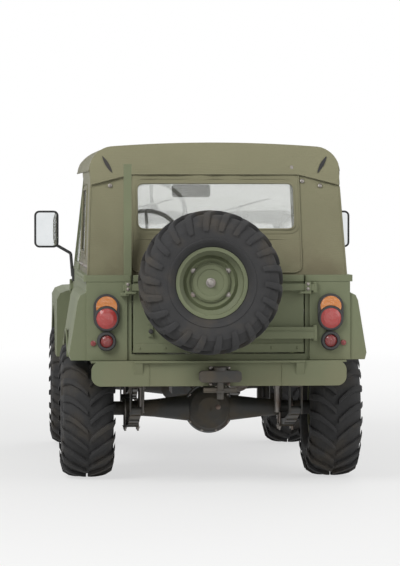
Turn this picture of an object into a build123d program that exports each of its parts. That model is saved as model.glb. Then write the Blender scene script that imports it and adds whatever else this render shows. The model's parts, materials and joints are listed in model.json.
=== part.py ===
"""Army 4x4 car with a canvas top, leaf-sprung axles and a spare wheel on its side-hinged rear door.

Millimetres. +Y is forward, +X is the car's right side, +Z is up. The origin is on the ground,
below the middle of the car's bounding box.
"""

import math
import os

from build123d import *

# Driving dimensions of the running gear
WHEELBASE = 2380
TRACK = 1480
TYRE_OD = 830
TYRE_WIDTH = 320
RIM_OD = 412
RIM_WIDTH = 240
KINGPIN_X = 612
STEER_LOCK = 28
FRONT_OVERHANG = 690
REAR_SETBACK = 730
SPARE_STANDOFF = 70

# Driving dimensions of the body
BODY_HALF = 770
WALL = 34
PANEL = 24
SKIN = 14
FLOOR_Z = 722
SILL_Z = 610
BELT_Z = 1202
CAPPING = 38
ROOF_Z = 2012
FENDER_SWELL = 106
FENDER_WIDTH = 316
REAR_CORNER = 273
DOOR_LENGTH = 900
DOOR_GAP = 9
SEAT = 0.3

# Places worked out from them
OVERALL_LENGTH = FRONT_OVERHANG + WHEELBASE + REAR_SETBACK + SPARE_STANDOFF + TYRE_WIDTH
FRONT_Y = OVERALL_LENGTH / 2
FRONT_AXLE_Y = FRONT_Y - FRONT_OVERHANG
REAR_AXLE_Y = FRONT_AXLE_Y - WHEELBASE
REAR_Y = REAR_AXLE_Y - REAR_SETBACK
AXLE_Z = TYRE_OD / 2
WHEEL_X = TRACK / 2
RAIL_TOP = BELT_Z + CAPPING
FENDER_HALF = BODY_HALF + FENDER_SWELL
BONNET_HALF = FENDER_HALF - FENDER_WIDTH
REAR_DOOR_HALF = BODY_HALF - REAR_CORNER

os.makedirs("parts", exist_ok=True)


def block(x0, x1, y0, y1, z0, z1, mode=Mode.ADD):
    """A box between two corners, added to the part that is being built."""
    with Locations(((x0 + x1) / 2, (y0 + y1) / 2, (z0 + z1) / 2)):
        Box(abs(x1 - x0), abs(y1 - y0), abs(z1 - z0), mode=mode)


def side_plate(x0, x1, points, mode=Mode.ADD):
    """A plate whose outline is drawn from the side, as (y, z) points, between two x places."""
    with BuildSketch(Plane.YZ.offset(x0)) as outline:
        with BuildLine():
            Polyline(points, close=True)
        make_face()
    extrude(outline.sketch, amount=x1 - x0, mode=mode)


def cross_plate(y0, y1, points, mode=Mode.ADD):
    """A plate whose outline is drawn from the rear, as (x, z) points, between two y places."""
    with BuildSketch(Plane.XZ.offset(-y0)) as outline:
        with BuildLine():
            Polyline(points, close=True)
        make_face()
    extrude(outline.sketch, amount=y0 - y1, mode=mode)


def rod(start, end, radius, mode=Mode.ADD):
    """A round bar from one point to another."""
    run = Vector(*end) - Vector(*start)
    with BuildSketch(Plane(origin=start, z_dir=run)) as section:
        Circle(radius)
    extrude(section.sketch, amount=run.length, mode=mode)


def turning_plane(plane):
    """The plane through a plane's z axis where x is the radius and y is the place along the axis."""
    return Plane(origin=plane.origin, x_dir=plane.x_dir, z_dir=-plane.y_dir)


def ring(plane, profile, mode=Mode.ADD):
    """A turned piece: profile is (radius, height) points, spun about the plane's z axis."""
    with BuildSketch(turning_plane(plane)) as section:
        with BuildLine():
            Polyline(profile, close=True)
        make_face()
    revolve(section.sketch, axis=Axis(plane.origin, plane.z_dir), mode=mode)


def save(builder, name):
    """Labels a finished piece and writes it as one STEP file."""
    builder.part.label = name
    export_step(builder.part, f"parts/{name}.step")


def arch(y, radius, x0, x1, mode=Mode.SUBTRACT):
    """A wheel arch: a round cut along X about an axle."""
    rod((x0, y, AXLE_Z), (x1, y, AXLE_Z), radius, mode)


# Wheels: a hollow tyre on a pressed steel rim, with the brake drum and hub on the road wheels
BEAD_R = RIM_OD / 2 - 12
TYRE_R = TYRE_OD / 2
TYRE_HALF = TYRE_WIDTH / 2
TYRE_WALL = 15
LUG_COUNT = 22
LUG_DEPTH = 22
LUG_W = 40
LUG_TURN = 24
LUG_START = 6
LUG_SLOPE = 34
LUG_ROOT = 6
TREAD_R = TYRE_R - LUG_DEPTH
TREAD_EDGE = (TREAD_R, TYRE_HALF - 40)
SHOULDER = (TREAD_R - 44, TYRE_HALF - 8)
BEAD_HALF = RIM_WIDTH / 2 - 16
RIM_FLANGE = 8
RIM_HALF = BEAD_HALF + RIM_FLANGE
HUB_R = 56
STUD_CIRCLE = 139.7
STUD_COUNT = 5
DISC_OUT = 30
DRUM_R = 160
DRUM_IN = 70
SPINDLE_R = 30
RUNNING_FIT = 0.05


def wheel_plane(x, y, z, outward):
    """The plane at a wheel's centre whose z axis points out of its dish."""
    return Plane(origin=(x, y, z), x_dir=(0, 0, 1), z_dir=outward)


def across(point):
    """The same place on the other side of a tyre's middle, as (radius, height)."""
    return (point[0], -point[1])


def tread_lug(side):
    """One lug of a tyre about Z: swept round from the middle of the tread and sloped over the shoulder."""
    turn = math.radians(LUG_TURN)
    along = Vector(0, math.sin(turn), side * math.cos(turn))
    reach = (SHOULDER[1] - LUG_W * math.sin(turn) / 2 - 5) / math.cos(turn)
    slope = reach - LUG_SLOPE
    with BuildPart() as lug:
        with BuildSketch(Plane(origin=(0, 0, 0), x_dir=along, z_dir=along.cross(Vector(1, 0, 0)))):
            with BuildLine():
                Polyline([
                    (LUG_START, TREAD_R - LUG_ROOT), (LUG_START, TYRE_R + LUG_ROOT), (slope, TYRE_R + LUG_ROOT),
                    (slope, TYRE_R - LUG_DEPTH / 2), (reach, SHOULDER[0] + 16), (reach - 4, SHOULDER[0] - 4),
                    (slope - 14, TREAD_R - LUG_DEPTH),
                ], close=True)
            make_face()
        extrude(amount=LUG_W / 2, both=True)
        Cylinder(TYRE_R, 2 * TYRE_WIDTH, mode=Mode.INTERSECT)
    return lug.part


def tyre_form():
    """A mud tyre about Z: a hollow carcass turned from its section, with two rows of lugs fused to it."""
    heel = (RIM_OD / 2 + 1, BEAD_HALF - SEAT)
    bead = (BEAD_R + SEAT, BEAD_HALF - SEAT)
    toe = (BEAD_R + SEAT, BEAD_HALF - 24)
    belly_r = (TYRE_R + RIM_OD / 2) / 2
    belly = (belly_r, TYRE_HALF - 1.4)
    inner_belly = (belly_r, TYRE_HALF - TYRE_WALL)
    inner_edge = (TREAD_R - TYRE_WALL - 6, TREAD_EDGE[1] - 8)
    with BuildPart() as carcass:
        with BuildSketch(turning_plane(Plane.XY)):
            with BuildLine():
                Polyline([across(toe), across(bead), across(heel)])
                ThreePointArc(across(heel), across(belly), across(SHOULDER))
                Polyline([across(SHOULDER), across(TREAD_EDGE), TREAD_EDGE, SHOULDER])
                ThreePointArc(SHOULDER, belly, heel)
                Polyline([heel, bead, toe, inner_belly, inner_edge, across(inner_edge), across(inner_belly), across(toe)])
            make_face()
        revolve(axis=Axis.Z)
    pitch = 360 / LUG_COUNT
    lugs = []
    for side, offset_share in ((-1, 0), (1, 0.5)):
        lug = tread_lug(side)
        lugs += [Rot(Z=pitch * (place + offset_share)) * lug for place in range(LUG_COUNT)]
    return carcass.part.fuse(*lugs)


def save_tyre(name, plane):
    """Moves the tyre's form to a wheel and writes it."""
    tyre = plane.location * TYRE
    tyre.label = name
    export_step(tyre, f"parts/{name}.step")


def make_rim(name, plane, on_hub):
    """A rim is a turned barrel with two flanges and a dished disc. On a hub it also has its drum."""
    barrel_in = BEAD_R - 9
    disc = [(barrel_in, DISC_OUT + 6), (158, DISC_OUT - 8), (138, DISC_OUT + 6), (120, 14), (HUB_R, 14)]
    disc_back = [(radius, height - 10) for radius, height in reversed(disc)]
    outer = [
        (RIM_OD / 2, -RIM_HALF),
        (RIM_OD / 2, -BEAD_HALF),
        (BEAD_R, -BEAD_HALF),
        (BEAD_R, BEAD_HALF),
        (RIM_OD / 2, BEAD_HALF),
        (RIM_OD / 2, RIM_HALF),
        (barrel_in, RIM_HALF),
    ]
    with BuildPart() as rim:
        ring(plane, outer + disc + disc_back + [(barrel_in, -RIM_HALF)])
        with BuildSketch(plane):
            with PolarLocations(STUD_CIRCLE / 2, STUD_COUNT):
                Circle(7.5)
        extrude(amount=DISC_OUT, both=True, mode=Mode.SUBTRACT)
        if on_hub:
            bore = SPINDLE_R + RUNNING_FIT
            ring(plane, [(bore, -DRUM_IN), (DRUM_R, -DRUM_IN), (DRUM_R, 0), (HUB_R, 4), (HUB_R, 52),
                         (46, 70), (0, 70), (0, 40), (bore, 40)])
            with BuildSketch(plane):
                with PolarLocations(STUD_CIRCLE / 2, STUD_COUNT):
                    Circle(7.5)
            extrude(amount=DISC_OUT)
    save(rim, name)


# Columns: name, side (+1 right), axle place
ROAD_WHEELS = [
    ("front_left", -1, FRONT_AXLE_Y),
    ("front_right", 1, FRONT_AXLE_Y),
    ("rear_left", -1, REAR_AXLE_Y),
    ("rear_right", 1, REAR_AXLE_Y),
]
TYRE = tyre_form()
for wheel_name, wheel_side, wheel_y in ROAD_WHEELS:
    at_wheel = wheel_plane(wheel_side * WHEEL_X, wheel_y, AXLE_Z, (wheel_side, 0, 0))
    save_tyre(f"tyre_{wheel_name}", Plane(origin=at_wheel.origin, x_dir=(0, 0, 1), z_dir=(-1, 0, 0)))
    make_rim(f"rim_{wheel_name}", at_wheel, True)

# Ladder frame: rails that are close together in front for the steering and wide behind
RAIL_FRONT_X = 350
RAIL_REAR_X = 470
RAIL_W = 60
RAIL_Z0 = 590
RAIL_Z1 = 700
RAIL_SPLAY_Y = (FRONT_AXLE_Y - 1000, FRONT_AXLE_Y - 1350)
RAIL_FRONT_END = FRONT_Y - 90
BUMPER_DEPTH = 130
RAIL_REAR_END = REAR_Y + BUMPER_DEPTH - 70
SPRING_W = 62
SPRING_HALF = 560
SPRING_CAMBER = 92
SPRING_DROP = 62
LEAF = 9
LEAVES = [1.0, 0.84, 0.62, 0.4]
EYE_R = 22
HANGER = 7
SPRING_TOP = AXLE_Z - SPRING_DROP
EYE_Z = SPRING_TOP + SPRING_CAMBER - LEAF / 2
# Columns: spring's side place, axle place
SPRINGS = [(side * x, y) for x, y in ((RAIL_FRONT_X, FRONT_AXLE_Y), (RAIL_REAR_X, REAR_AXLE_Y)) for side in (-1, 1)]
# Columns: place along the car, half length of the cross member between the rails, depth
CROSS_MEMBERS = [
    (FRONT_Y - 150, RAIL_FRONT_X, 60),
    (FRONT_AXLE_Y - 1450, RAIL_REAR_X, 70),
    (REAR_AXLE_Y - 330, RAIL_REAR_X, 60),
]
BODY_MOUNTS = [FRONT_AXLE_Y - 820, FRONT_AXLE_Y - 1560, REAR_AXLE_Y + 60, REAR_Y + 160]


def rail_x(y):
    """The middle of a rail at a place along the car."""
    front, rear = RAIL_SPLAY_Y
    share = min(1, max(0, (front - y) / (front - rear)))
    return RAIL_FRONT_X + share * (RAIL_REAR_X - RAIL_FRONT_X)


with BuildPart() as frame:
    for side in (-1, 1):
        stations = [RAIL_FRONT_END, *RAIL_SPLAY_Y, RAIL_REAR_END]
        inside = [(side * (rail_x(y) - RAIL_W / 2), y) for y in stations]
        outside = [(side * (rail_x(y) + RAIL_W / 2), y) for y in reversed(stations)]
        with BuildSketch(Plane.XY.offset(RAIL_Z0)):
            with BuildLine():
                Polyline(inside + outside, close=True)
            make_face()
        extrude(amount=RAIL_Z1 - RAIL_Z0)
        for y in BODY_MOUNTS:
            with Locations((side * rail_x(y), y, (RAIL_Z1 + FLOOR_Z - SEAT) / 2)):
                Cylinder(26, FLOOR_Z - SEAT - RAIL_Z1)
    for y, half, depth in CROSS_MEMBERS:
        block(-half, half, y - depth / 2, y + depth / 2, RAIL_Z0 + 20, RAIL_Z1 - 12)
    for x, axle_y in SPRINGS:
        for end_y in (axle_y - SPRING_HALF, axle_y + SPRING_HALF):
            for face in (-1, 1):
                near = x + face * (SPRING_W / 2 + SEAT)
                side_plate(near, near + face * HANGER, [
                    (end_y - 24, EYE_Z - 26), (end_y + 24, EYE_Z - 26),
                    (end_y + 38, RAIL_Z0 + 40), (end_y - 38, RAIL_Z0 + 40),
                ])
            half = SPRING_W / 2 + SEAT + HANGER
            block(x - half, x + half, end_y - 38, end_y + 38, RAIL_Z0 - 14, RAIL_Z0 + 40)
save(frame, "frame")

# Leaf springs: stacked concentric leaves that curve up to an eye at each end
LEAF_CENTRE = (SPRING_HALF**2 + SPRING_CAMBER**2) / (2 * SPRING_CAMBER)


def on_leaf(axle_y, radius, angle):
    """A point on a leaf's arc, as (y, z), at an angle from the spring's middle."""
    return (axle_y + radius * math.sin(angle), SPRING_TOP + LEAF_CENTRE - radius * math.cos(angle))


with BuildPart() as springs:
    for x, axle_y in SPRINGS:
        for layer, share in enumerate(LEAVES):
            top_r = LEAF_CENTRE + layer * LEAF
            reach = share * math.asin(SPRING_HALF / LEAF_CENTRE)

            low_r = top_r + LEAF
            with BuildSketch(Plane.YZ.offset(x - SPRING_W / 2)):
                with BuildLine():
                    ThreePointArc(on_leaf(axle_y, top_r, -reach), on_leaf(axle_y, top_r, 0), on_leaf(axle_y, top_r, reach))
                    Line(on_leaf(axle_y, top_r, reach), on_leaf(axle_y, low_r, reach))
                    ThreePointArc(on_leaf(axle_y, low_r, reach), on_leaf(axle_y, low_r, 0), on_leaf(axle_y, low_r, -reach))
                    Line(on_leaf(axle_y, low_r, -reach), on_leaf(axle_y, top_r, -reach))
                make_face()
            extrude(amount=SPRING_W)
        for end_y in (axle_y - SPRING_HALF, axle_y + SPRING_HALF):
            rod((x - SPRING_W / 2, end_y, EYE_Z), (x + SPRING_W / 2, end_y, EYE_Z), EYE_R)
        stack = LEAF * len(LEAVES)
        block(x - 44, x + 44, axle_y - 70, axle_y + 70, SPRING_TOP - stack - 12, SPRING_TOP - stack + 2)
save(springs, "leaf_springs")

# Live axles: tapered arms, a round gear case with its nose towards the transfer box, and spindles
ARM_R = 42
PLATE_R = 150
PLATE_X = WHEEL_X - DRUM_IN - SEAT
SPINDLE_END = WHEEL_X + 38
CASE = [(0, -120), (70, -116), (118, -84), (146, -30), (146, 60), (100, 110), (60, 150), (45, 190), (0, 190)]
CASE_NOSE = CASE[-1][1]
SHOCK_OFFSET = 84
SHOCK_R = 20
SHOCK_COVER_R = 26


def axle_arm(end):
    """One side's arm, from the gear case to its end, as (radius, place) points."""
    return [(0, 0), (78, 0), (78, 130), (54, 330), (ARM_R, 500), (ARM_R, end), (0, end)]


def spring_pads_and_brackets(axle_y, spring_x, lean):
    """The pads that sit on the springs, and the brackets of the shock absorbers."""
    for side in (-1, 1):
        x = side * spring_x
        block(x - SPRING_W / 2, x + SPRING_W / 2, axle_y - 45, axle_y + 45, SPRING_TOP + 1, AXLE_Z - 24)
        x = side * shock_x(spring_x)
        block(x - 14, x + 14, axle_y, axle_y + lean * (SHOCK_OFFSET - SHOCK_R - SEAT), AXLE_Z - 18, AXLE_Z + 18)


def shock_x(spring_x):
    """A shock absorber stands just inside the rail above its spring."""
    return spring_x - RAIL_W / 2 - SHOCK_COVER_R - SEAT


with BuildPart() as rear_axle:
    for side in (-1, 1):
        along = Plane(origin=(0, REAR_AXLE_Y, AXLE_Z), x_dir=(0, 0, 1), z_dir=(side, 0, 0))
        arm = axle_arm(PLATE_X - 8)
        spindle = [(PLATE_R, PLATE_X - 8), (PLATE_R, PLATE_X), (SPINDLE_R, PLATE_X), (SPINDLE_R, SPINDLE_END)]
        ring(along, arm[:-1] + spindle + [(0, SPINDLE_END)])
    ring(Plane(origin=(0, REAR_AXLE_Y, AXLE_Z), x_dir=(0, 0, 1), z_dir=(0, 1, 0)), CASE)
    spring_pads_and_brackets(REAR_AXLE_Y, RAIL_REAR_X, -1)
save(rear_axle, "rear_axle")

# Steering: a forked front axle, knuckles on vertical pins and a track rod in front
FORK_X = KINGPIN_X - 50
EAR_Z0 = 98
EAR_Z1 = 128
EAR_R = 40
KINGPIN_R = 18
BOSS_R = 38
STEER_ARM = 160
ROD_R = 14
ROD_Z = AXLE_Z - 12
ROD_PIN_R = 9
STEER_ARM_Z = ROD_Z + ROD_R + SEAT
ROD_Y = FRONT_AXLE_Y + STEER_ARM
with BuildPart() as front_axle:
    for side in (-1, 1):
        along = Plane(origin=(0, FRONT_AXLE_Y, AXLE_Z), x_dir=(0, 0, 1), z_dir=(side, 0, 0))
        ring(along, axle_arm(FORK_X - 26))
        block(side * (FORK_X - 30), side * FORK_X, FRONT_AXLE_Y - 34, FRONT_AXLE_Y + 34,
              AXLE_Z - EAR_Z1, AXLE_Z + EAR_Z1)
        for level in (-1, 1):
            inner, outer = AXLE_Z + level * EAR_Z0, AXLE_Z + level * EAR_Z1
            block(side * (FORK_X - 10), side * KINGPIN_X, FRONT_AXLE_Y - 34, FRONT_AXLE_Y + 34, inner, outer)
            rod((side * KINGPIN_X, FRONT_AXLE_Y, inner), (side * KINGPIN_X, FRONT_AXLE_Y, outer), EAR_R)
        rod((side * KINGPIN_X, FRONT_AXLE_Y, AXLE_Z - EAR_Z1), (side * KINGPIN_X, FRONT_AXLE_Y, AXLE_Z + EAR_Z1),
            KINGPIN_R + RUNNING_FIT, Mode.SUBTRACT)
    ring(Plane(origin=(0, FRONT_AXLE_Y, AXLE_Z), x_dir=(0, 0, 1), z_dir=(0, -1, 0)), CASE)
    spring_pads_and_brackets(FRONT_AXLE_Y, RAIL_FRONT_X, 1)
save(front_axle, "front_axle")

for side_name, side in (("left", -1), ("right", 1)):
    pin_x = side * KINGPIN_X
    with BuildPart() as knuckle:
        boss = EAR_Z0 - SEAT
        rod((pin_x, FRONT_AXLE_Y, AXLE_Z - boss), (pin_x, FRONT_AXLE_Y, AXLE_Z + boss), BOSS_R)
        rod((pin_x, FRONT_AXLE_Y, AXLE_Z - EAR_Z1), (pin_x, FRONT_AXLE_Y, AXLE_Z + EAR_Z1), KINGPIN_R)
        along = Plane(origin=(0, FRONT_AXLE_Y, AXLE_Z), x_dir=(0, 0, 1), z_dir=(side, 0, 0))
        ring(along, [(0, KINGPIN_X), (ARM_R, KINGPIN_X), (ARM_R, PLATE_X - 8), (PLATE_R, PLATE_X - 8),
                     (PLATE_R, PLATE_X), (SPINDLE_R, PLATE_X), (SPINDLE_R, SPINDLE_END), (0, SPINDLE_END)])
        block(pin_x - 17, pin_x + 17, FRONT_AXLE_Y, ROD_Y, STEER_ARM_Z, STEER_ARM_Z + 20)
        rod((pin_x, ROD_Y, STEER_ARM_Z), (pin_x, ROD_Y, STEER_ARM_Z + 20), 21)
        rod((pin_x, ROD_Y, STEER_ARM_Z), (pin_x, ROD_Y, STEER_ARM_Z + 20), ROD_PIN_R + RUNNING_FIT, Mode.SUBTRACT)
    save(knuckle, f"knuckle_{side_name}")

with BuildPart() as tie_rod:
    rod((-KINGPIN_X, ROD_Y, ROD_Z), (KINGPIN_X, ROD_Y, ROD_Z), ROD_R - 3)
    for side in (-1, 1):
        with Locations((side * KINGPIN_X, ROD_Y, ROD_Z)):
            Cylinder(20, 2 * ROD_R)
        rod((side * KINGPIN_X, ROD_Y, ROD_Z), (side * KINGPIN_X, ROD_Y, STEER_ARM_Z + 26), ROD_PIN_R)
save(tie_rod, "tie_rod")

with BuildPart() as shocks:
    for spring_x, axle_y in SPRINGS:
        lean = 1 if axle_y == FRONT_AXLE_Y else -1
        x = math.copysign(shock_x(abs(spring_x)), spring_x)
        y = axle_y + lean * SHOCK_OFFSET
        rod((x, y, AXLE_Z - 24), (x, y, AXLE_Z + 122), SHOCK_R)
        rod((x, y, AXLE_Z + 120), (x, y, RAIL_Z1 - 12), SHOCK_COVER_R)
save(shocks, "shock_absorbers")

# Power train: plain engine block, gearbox and transfer box on their mounts, and two propeller shafts
ENGINE_HALF = 210
ENGINE_Y = (FRONT_AXLE_Y - 560, FRONT_AXLE_Y + 150)
ENGINE_Z = (640, 1050)
BOX_HALF = 150
TRANSFER_Y = (FRONT_AXLE_Y - 1360, FRONT_AXLE_Y - 1050)
TRANSFER_Z = (430, 690)
SHAFT_R = 28
MOUNT_END = RAIL_FRONT_X - RAIL_W / 2 - SEAT
with BuildPart() as powertrain:
    block(-ENGINE_HALF, ENGINE_HALF, *ENGINE_Y, *ENGINE_Z)
    block(-BOX_HALF, BOX_HALF, TRANSFER_Y[1], ENGINE_Y[0], 530, 700)
    block(-BOX_HALF, BOX_HALF, *TRANSFER_Y, *TRANSFER_Z)
    block(-MOUNT_END, MOUNT_END, FRONT_AXLE_Y - 240, FRONT_AXLE_Y - 170, ENGINE_Z[0], ENGINE_Z[0] + 42)
    block(-MOUNT_END, MOUNT_END, TRANSFER_Y[1] + 130, TRANSFER_Y[1] + 200, RAIL_Z0 + 10, RAIL_Z0 + 60)
    for place in (-1, 1):
        with Locations((0, FRONT_AXLE_Y - 205 + place * 90, ENGINE_Z[1])):
            Box(2 * ENGINE_HALF * 0.6, 120, 30)
save(powertrain, "powertrain")

# Columns: start of the shaft on the transfer box, end on an axle's nose
SHAFTS = [
    ((0, TRANSFER_Y[1] + SEAT, 478), (0, FRONT_AXLE_Y - CASE_NOSE - SEAT, AXLE_Z)),
    ((0, TRANSFER_Y[0] - SEAT, 500), (0, REAR_AXLE_Y + CASE_NOSE + SEAT, AXLE_Z)),
]
with BuildPart() as shafts:
    for start, end in SHAFTS:
        run = (Vector(*end) - Vector(*start)).normalized()
        joint_in = Vector(*start) + run * 60
        joint_out = Vector(*end) - run * 60
        rod(tuple(joint_in), tuple(joint_out), SHAFT_R)
        for face, inner in ((start, joint_in), (end, joint_out)):
            away = (inner - Vector(*face)).normalized()
            flat = math.copysign(1, away.Y)
            rod(face, (face[0], face[1] + flat * 12, face[2]), 46)
            rod((face[0], face[1] + flat * 10, face[2]), tuple(inner + away * 4), 36)
save(shafts, "propeller_shafts")

EXHAUST_X = ENGINE_HALF + 50
EXHAUST_Z = 528
EXHAUST_PATH = [
    (EXHAUST_X, ENGINE_Y[0] + 260, 800),
    (EXHAUST_X, ENGINE_Y[0] + 160, 560),
    (EXHAUST_X, TRANSFER_Y[1], EXHAUST_Z),
    (EXHAUST_X, REAR_AXLE_Y + 760, EXHAUST_Z),
    (BODY_HALF - 20, REAR_AXLE_Y + 620, EXHAUST_Z),
]
with BuildPart() as exhaust:
    with BuildLine() as pipe_line:
        FilletPolyline(EXHAUST_PATH, radius=70)
    with BuildSketch(Plane(origin=EXHAUST_PATH[0], z_dir=pipe_line.line % 0)):
        Circle(24)
    sweep()
    block(ENGINE_HALF + SEAT, EXHAUST_X + 24, ENGINE_Y[0] + 120, ENGINE_Y[0] + 420, 780, 850)
    rod((EXHAUST_X, TRANSFER_Y[1] - 40, EXHAUST_Z), (EXHAUST_X, TRANSFER_Y[1] - 520, EXHAUST_Z), 70)
save(exhaust, "exhaust")

TANK_X = (-BODY_HALF + 60, -RAIL_REAR_X - 60)
with BuildPart() as tank:
    block(*TANK_X, REAR_AXLE_Y + 640, REAR_AXLE_Y + 1380, RAIL_Z0 - 10, FLOOR_Z - SEAT)
    fillet(tank.edges().filter_by(Axis.Y), 24)
save(tank, "fuel_tank")

# Bumpers and the towing jaw
BUMPER_HALF = BODY_HALF - 28
BUMPER_Z = (598, 744)
BUMPER_PLATE = 8
BUMPER_FACE = REAR_Y - 70
with BuildPart() as rear_bumper:
    with BuildSketch(Plane.XZ.offset(-BUMPER_FACE)):
        with Locations((0, sum(BUMPER_Z) / 2)):
            Rectangle(2 * BUMPER_HALF, BUMPER_Z[1] - BUMPER_Z[0])
        fillet(vertices().group_by(Axis.Z)[0], 56)
    extrude(amount=-BUMPER_PLATE)
    block(-BUMPER_HALF, BUMPER_HALF, BUMPER_FACE, REAR_Y - SEAT, BUMPER_Z[1] - BUMPER_PLATE, BUMPER_Z[1])
    lower = BUMPER_HALF - 60
    block(-lower, lower, BUMPER_FACE, REAR_Y + 20, BUMPER_Z[0], BUMPER_Z[0] + BUMPER_PLATE)
    for side in (-1, 1):
        x = side * RAIL_REAR_X
        block(x - 40, x + 40, BUMPER_FACE, RAIL_REAR_END - SEAT, RAIL_Z0 + 8, RAIL_Z1 - 8)
        gusset = [(BUMPER_FACE + 1, BUMPER_Z[1]), (BUMPER_FACE - 24, BUMPER_Z[1]), (BUMPER_FACE + 1, BUMPER_Z[1] - 84)]
        side_plate(x - 24, x + 24, gusset)
    block(-RAIL_REAR_X - 24, RAIL_REAR_X + 24, BUMPER_FACE - 24, BUMPER_FACE + 1, BUMPER_Z[1] - 10, BUMPER_Z[1] + 2)
save(rear_bumper, "rear_bumper")

HITCH_Z = 657
HITCH_Y = BUMPER_FACE - 52
with BuildPart() as hitch:
    block(-62, 62, BUMPER_FACE - 14 - SEAT, BUMPER_FACE - SEAT, HITCH_Z - 56, HITCH_Z + 56)
    for level in (-34, 22):
        block(-40, 40, HITCH_Y, BUMPER_FACE - 10, HITCH_Z + level, HITCH_Z + level + 14)
    with BuildSketch(Plane.XZ.offset(23 - HITCH_Y)):
        with Locations((0, HITCH_Z)):
            RectangleRounded(246, 67, 22)
    extrude(amount=-46)
    rod((0, HITCH_Y, HITCH_Z - 132), (0, HITCH_Y, HITCH_Z + 50), 20)
    rod((0, HITCH_Y, HITCH_Z + 32), (0, HITCH_Y, HITCH_Z + 54), 36)
    rod((-96, HITCH_Y + 6, HITCH_Z - 80), (96, HITCH_Y + 6, HITCH_Z - 80), 15)
    rod((0, HITCH_Y, HITCH_Z - 95), (0, HITCH_Y, HITCH_Z - 82), 28)
save(hitch, "tow_pintle")

FRONT_BUMPER_HALF = BODY_HALF + 30
with BuildPart() as front_bumper:
    block(-FRONT_BUMPER_HALF, FRONT_BUMPER_HALF, FRONT_Y - 70, FRONT_Y, 566, 696)
    fillet(front_bumper.edges().filter_by(Axis.Z).group_by(Axis.Y)[-1], 40)
    block(-FRONT_BUMPER_HALF, FRONT_BUMPER_HALF, FRONT_Y - 70, FRONT_Y - 9, 576, 686, Mode.SUBTRACT)
    for side in (-1, 1):
        x = side * RAIL_FRONT_X
        block(x - 28, x + 28, RAIL_FRONT_END + SEAT, FRONT_Y - 6, RAIL_Z0, RAIL_Z1 - 20)
        rod((x, FRONT_Y - 45, 686), (x, FRONT_Y - 45, 720), 14)
save(front_bumper, "front_bumper")

# Floor pan, from the firewall to the rear panel, with a raised tunnel over the gearbox
FIREWALL_Y = REAR_AXLE_Y + 1610
DOOR_FRONT_Y = REAR_AXLE_Y + 1545
DOOR_REAR_Y = DOOR_FRONT_Y - DOOR_LENGTH
REAR_ARCH_ROOM = 65
FRONT_ARCH_ROOM = 130
BOX_ROOM = 40
REAR_ARCH_R = TYRE_R + REAR_ARCH_ROOM
FRONT_ARCH_R = TYRE_R + FRONT_ARCH_ROOM
BOX_IN = WHEEL_X - TYRE_HALF - BOX_ROOM
BOX_TOP = AXLE_Z + TYRE_R + 82
FLOOR_T = 18
BOARD_HALF = BOX_IN - 56
BOARD_Y = (REAR_Y + 90, REAR_AXLE_Y + 520)
BOARD_TOP = FLOOR_Z + FLOOR_T + 7
GROOVE_COUNT = 8
GROOVE_PITCH = 110
GROOVE_W = 22
GROOVE_DEPTH = 4
with BuildPart() as floor_pan:
    side = BODY_HALF - WALL - SEAT
    block(-side, side, REAR_Y + WALL + SEAT, FIREWALL_Y - SEAT, FLOOR_Z, FLOOR_Z + FLOOR_T)
    for face in (-1, 1):
        block(face * BOX_IN, face * BODY_HALF, REAR_AXLE_Y - REAR_ARCH_R - 20, REAR_AXLE_Y + REAR_ARCH_R + 20,
              FLOOR_Z, FLOOR_Z + FLOOR_T, Mode.SUBTRACT)
    block(-BOARD_HALF, BOARD_HALF, *BOARD_Y, FLOOR_Z + FLOOR_T, BOARD_TOP)
    with BuildSketch(Plane.XY.offset(BOARD_TOP)):
        with Locations((0, sum(BOARD_Y) / 2)):
            with GridLocations(GROOVE_PITCH, 1, GROOVE_COUNT, 1):
                SlotOverall(BOARD_Y[1] - BOARD_Y[0] - 80, GROOVE_W, rotation=90)
    extrude(amount=-GROOVE_DEPTH, mode=Mode.SUBTRACT)
save(floor_pan, "floor_pan")

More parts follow.
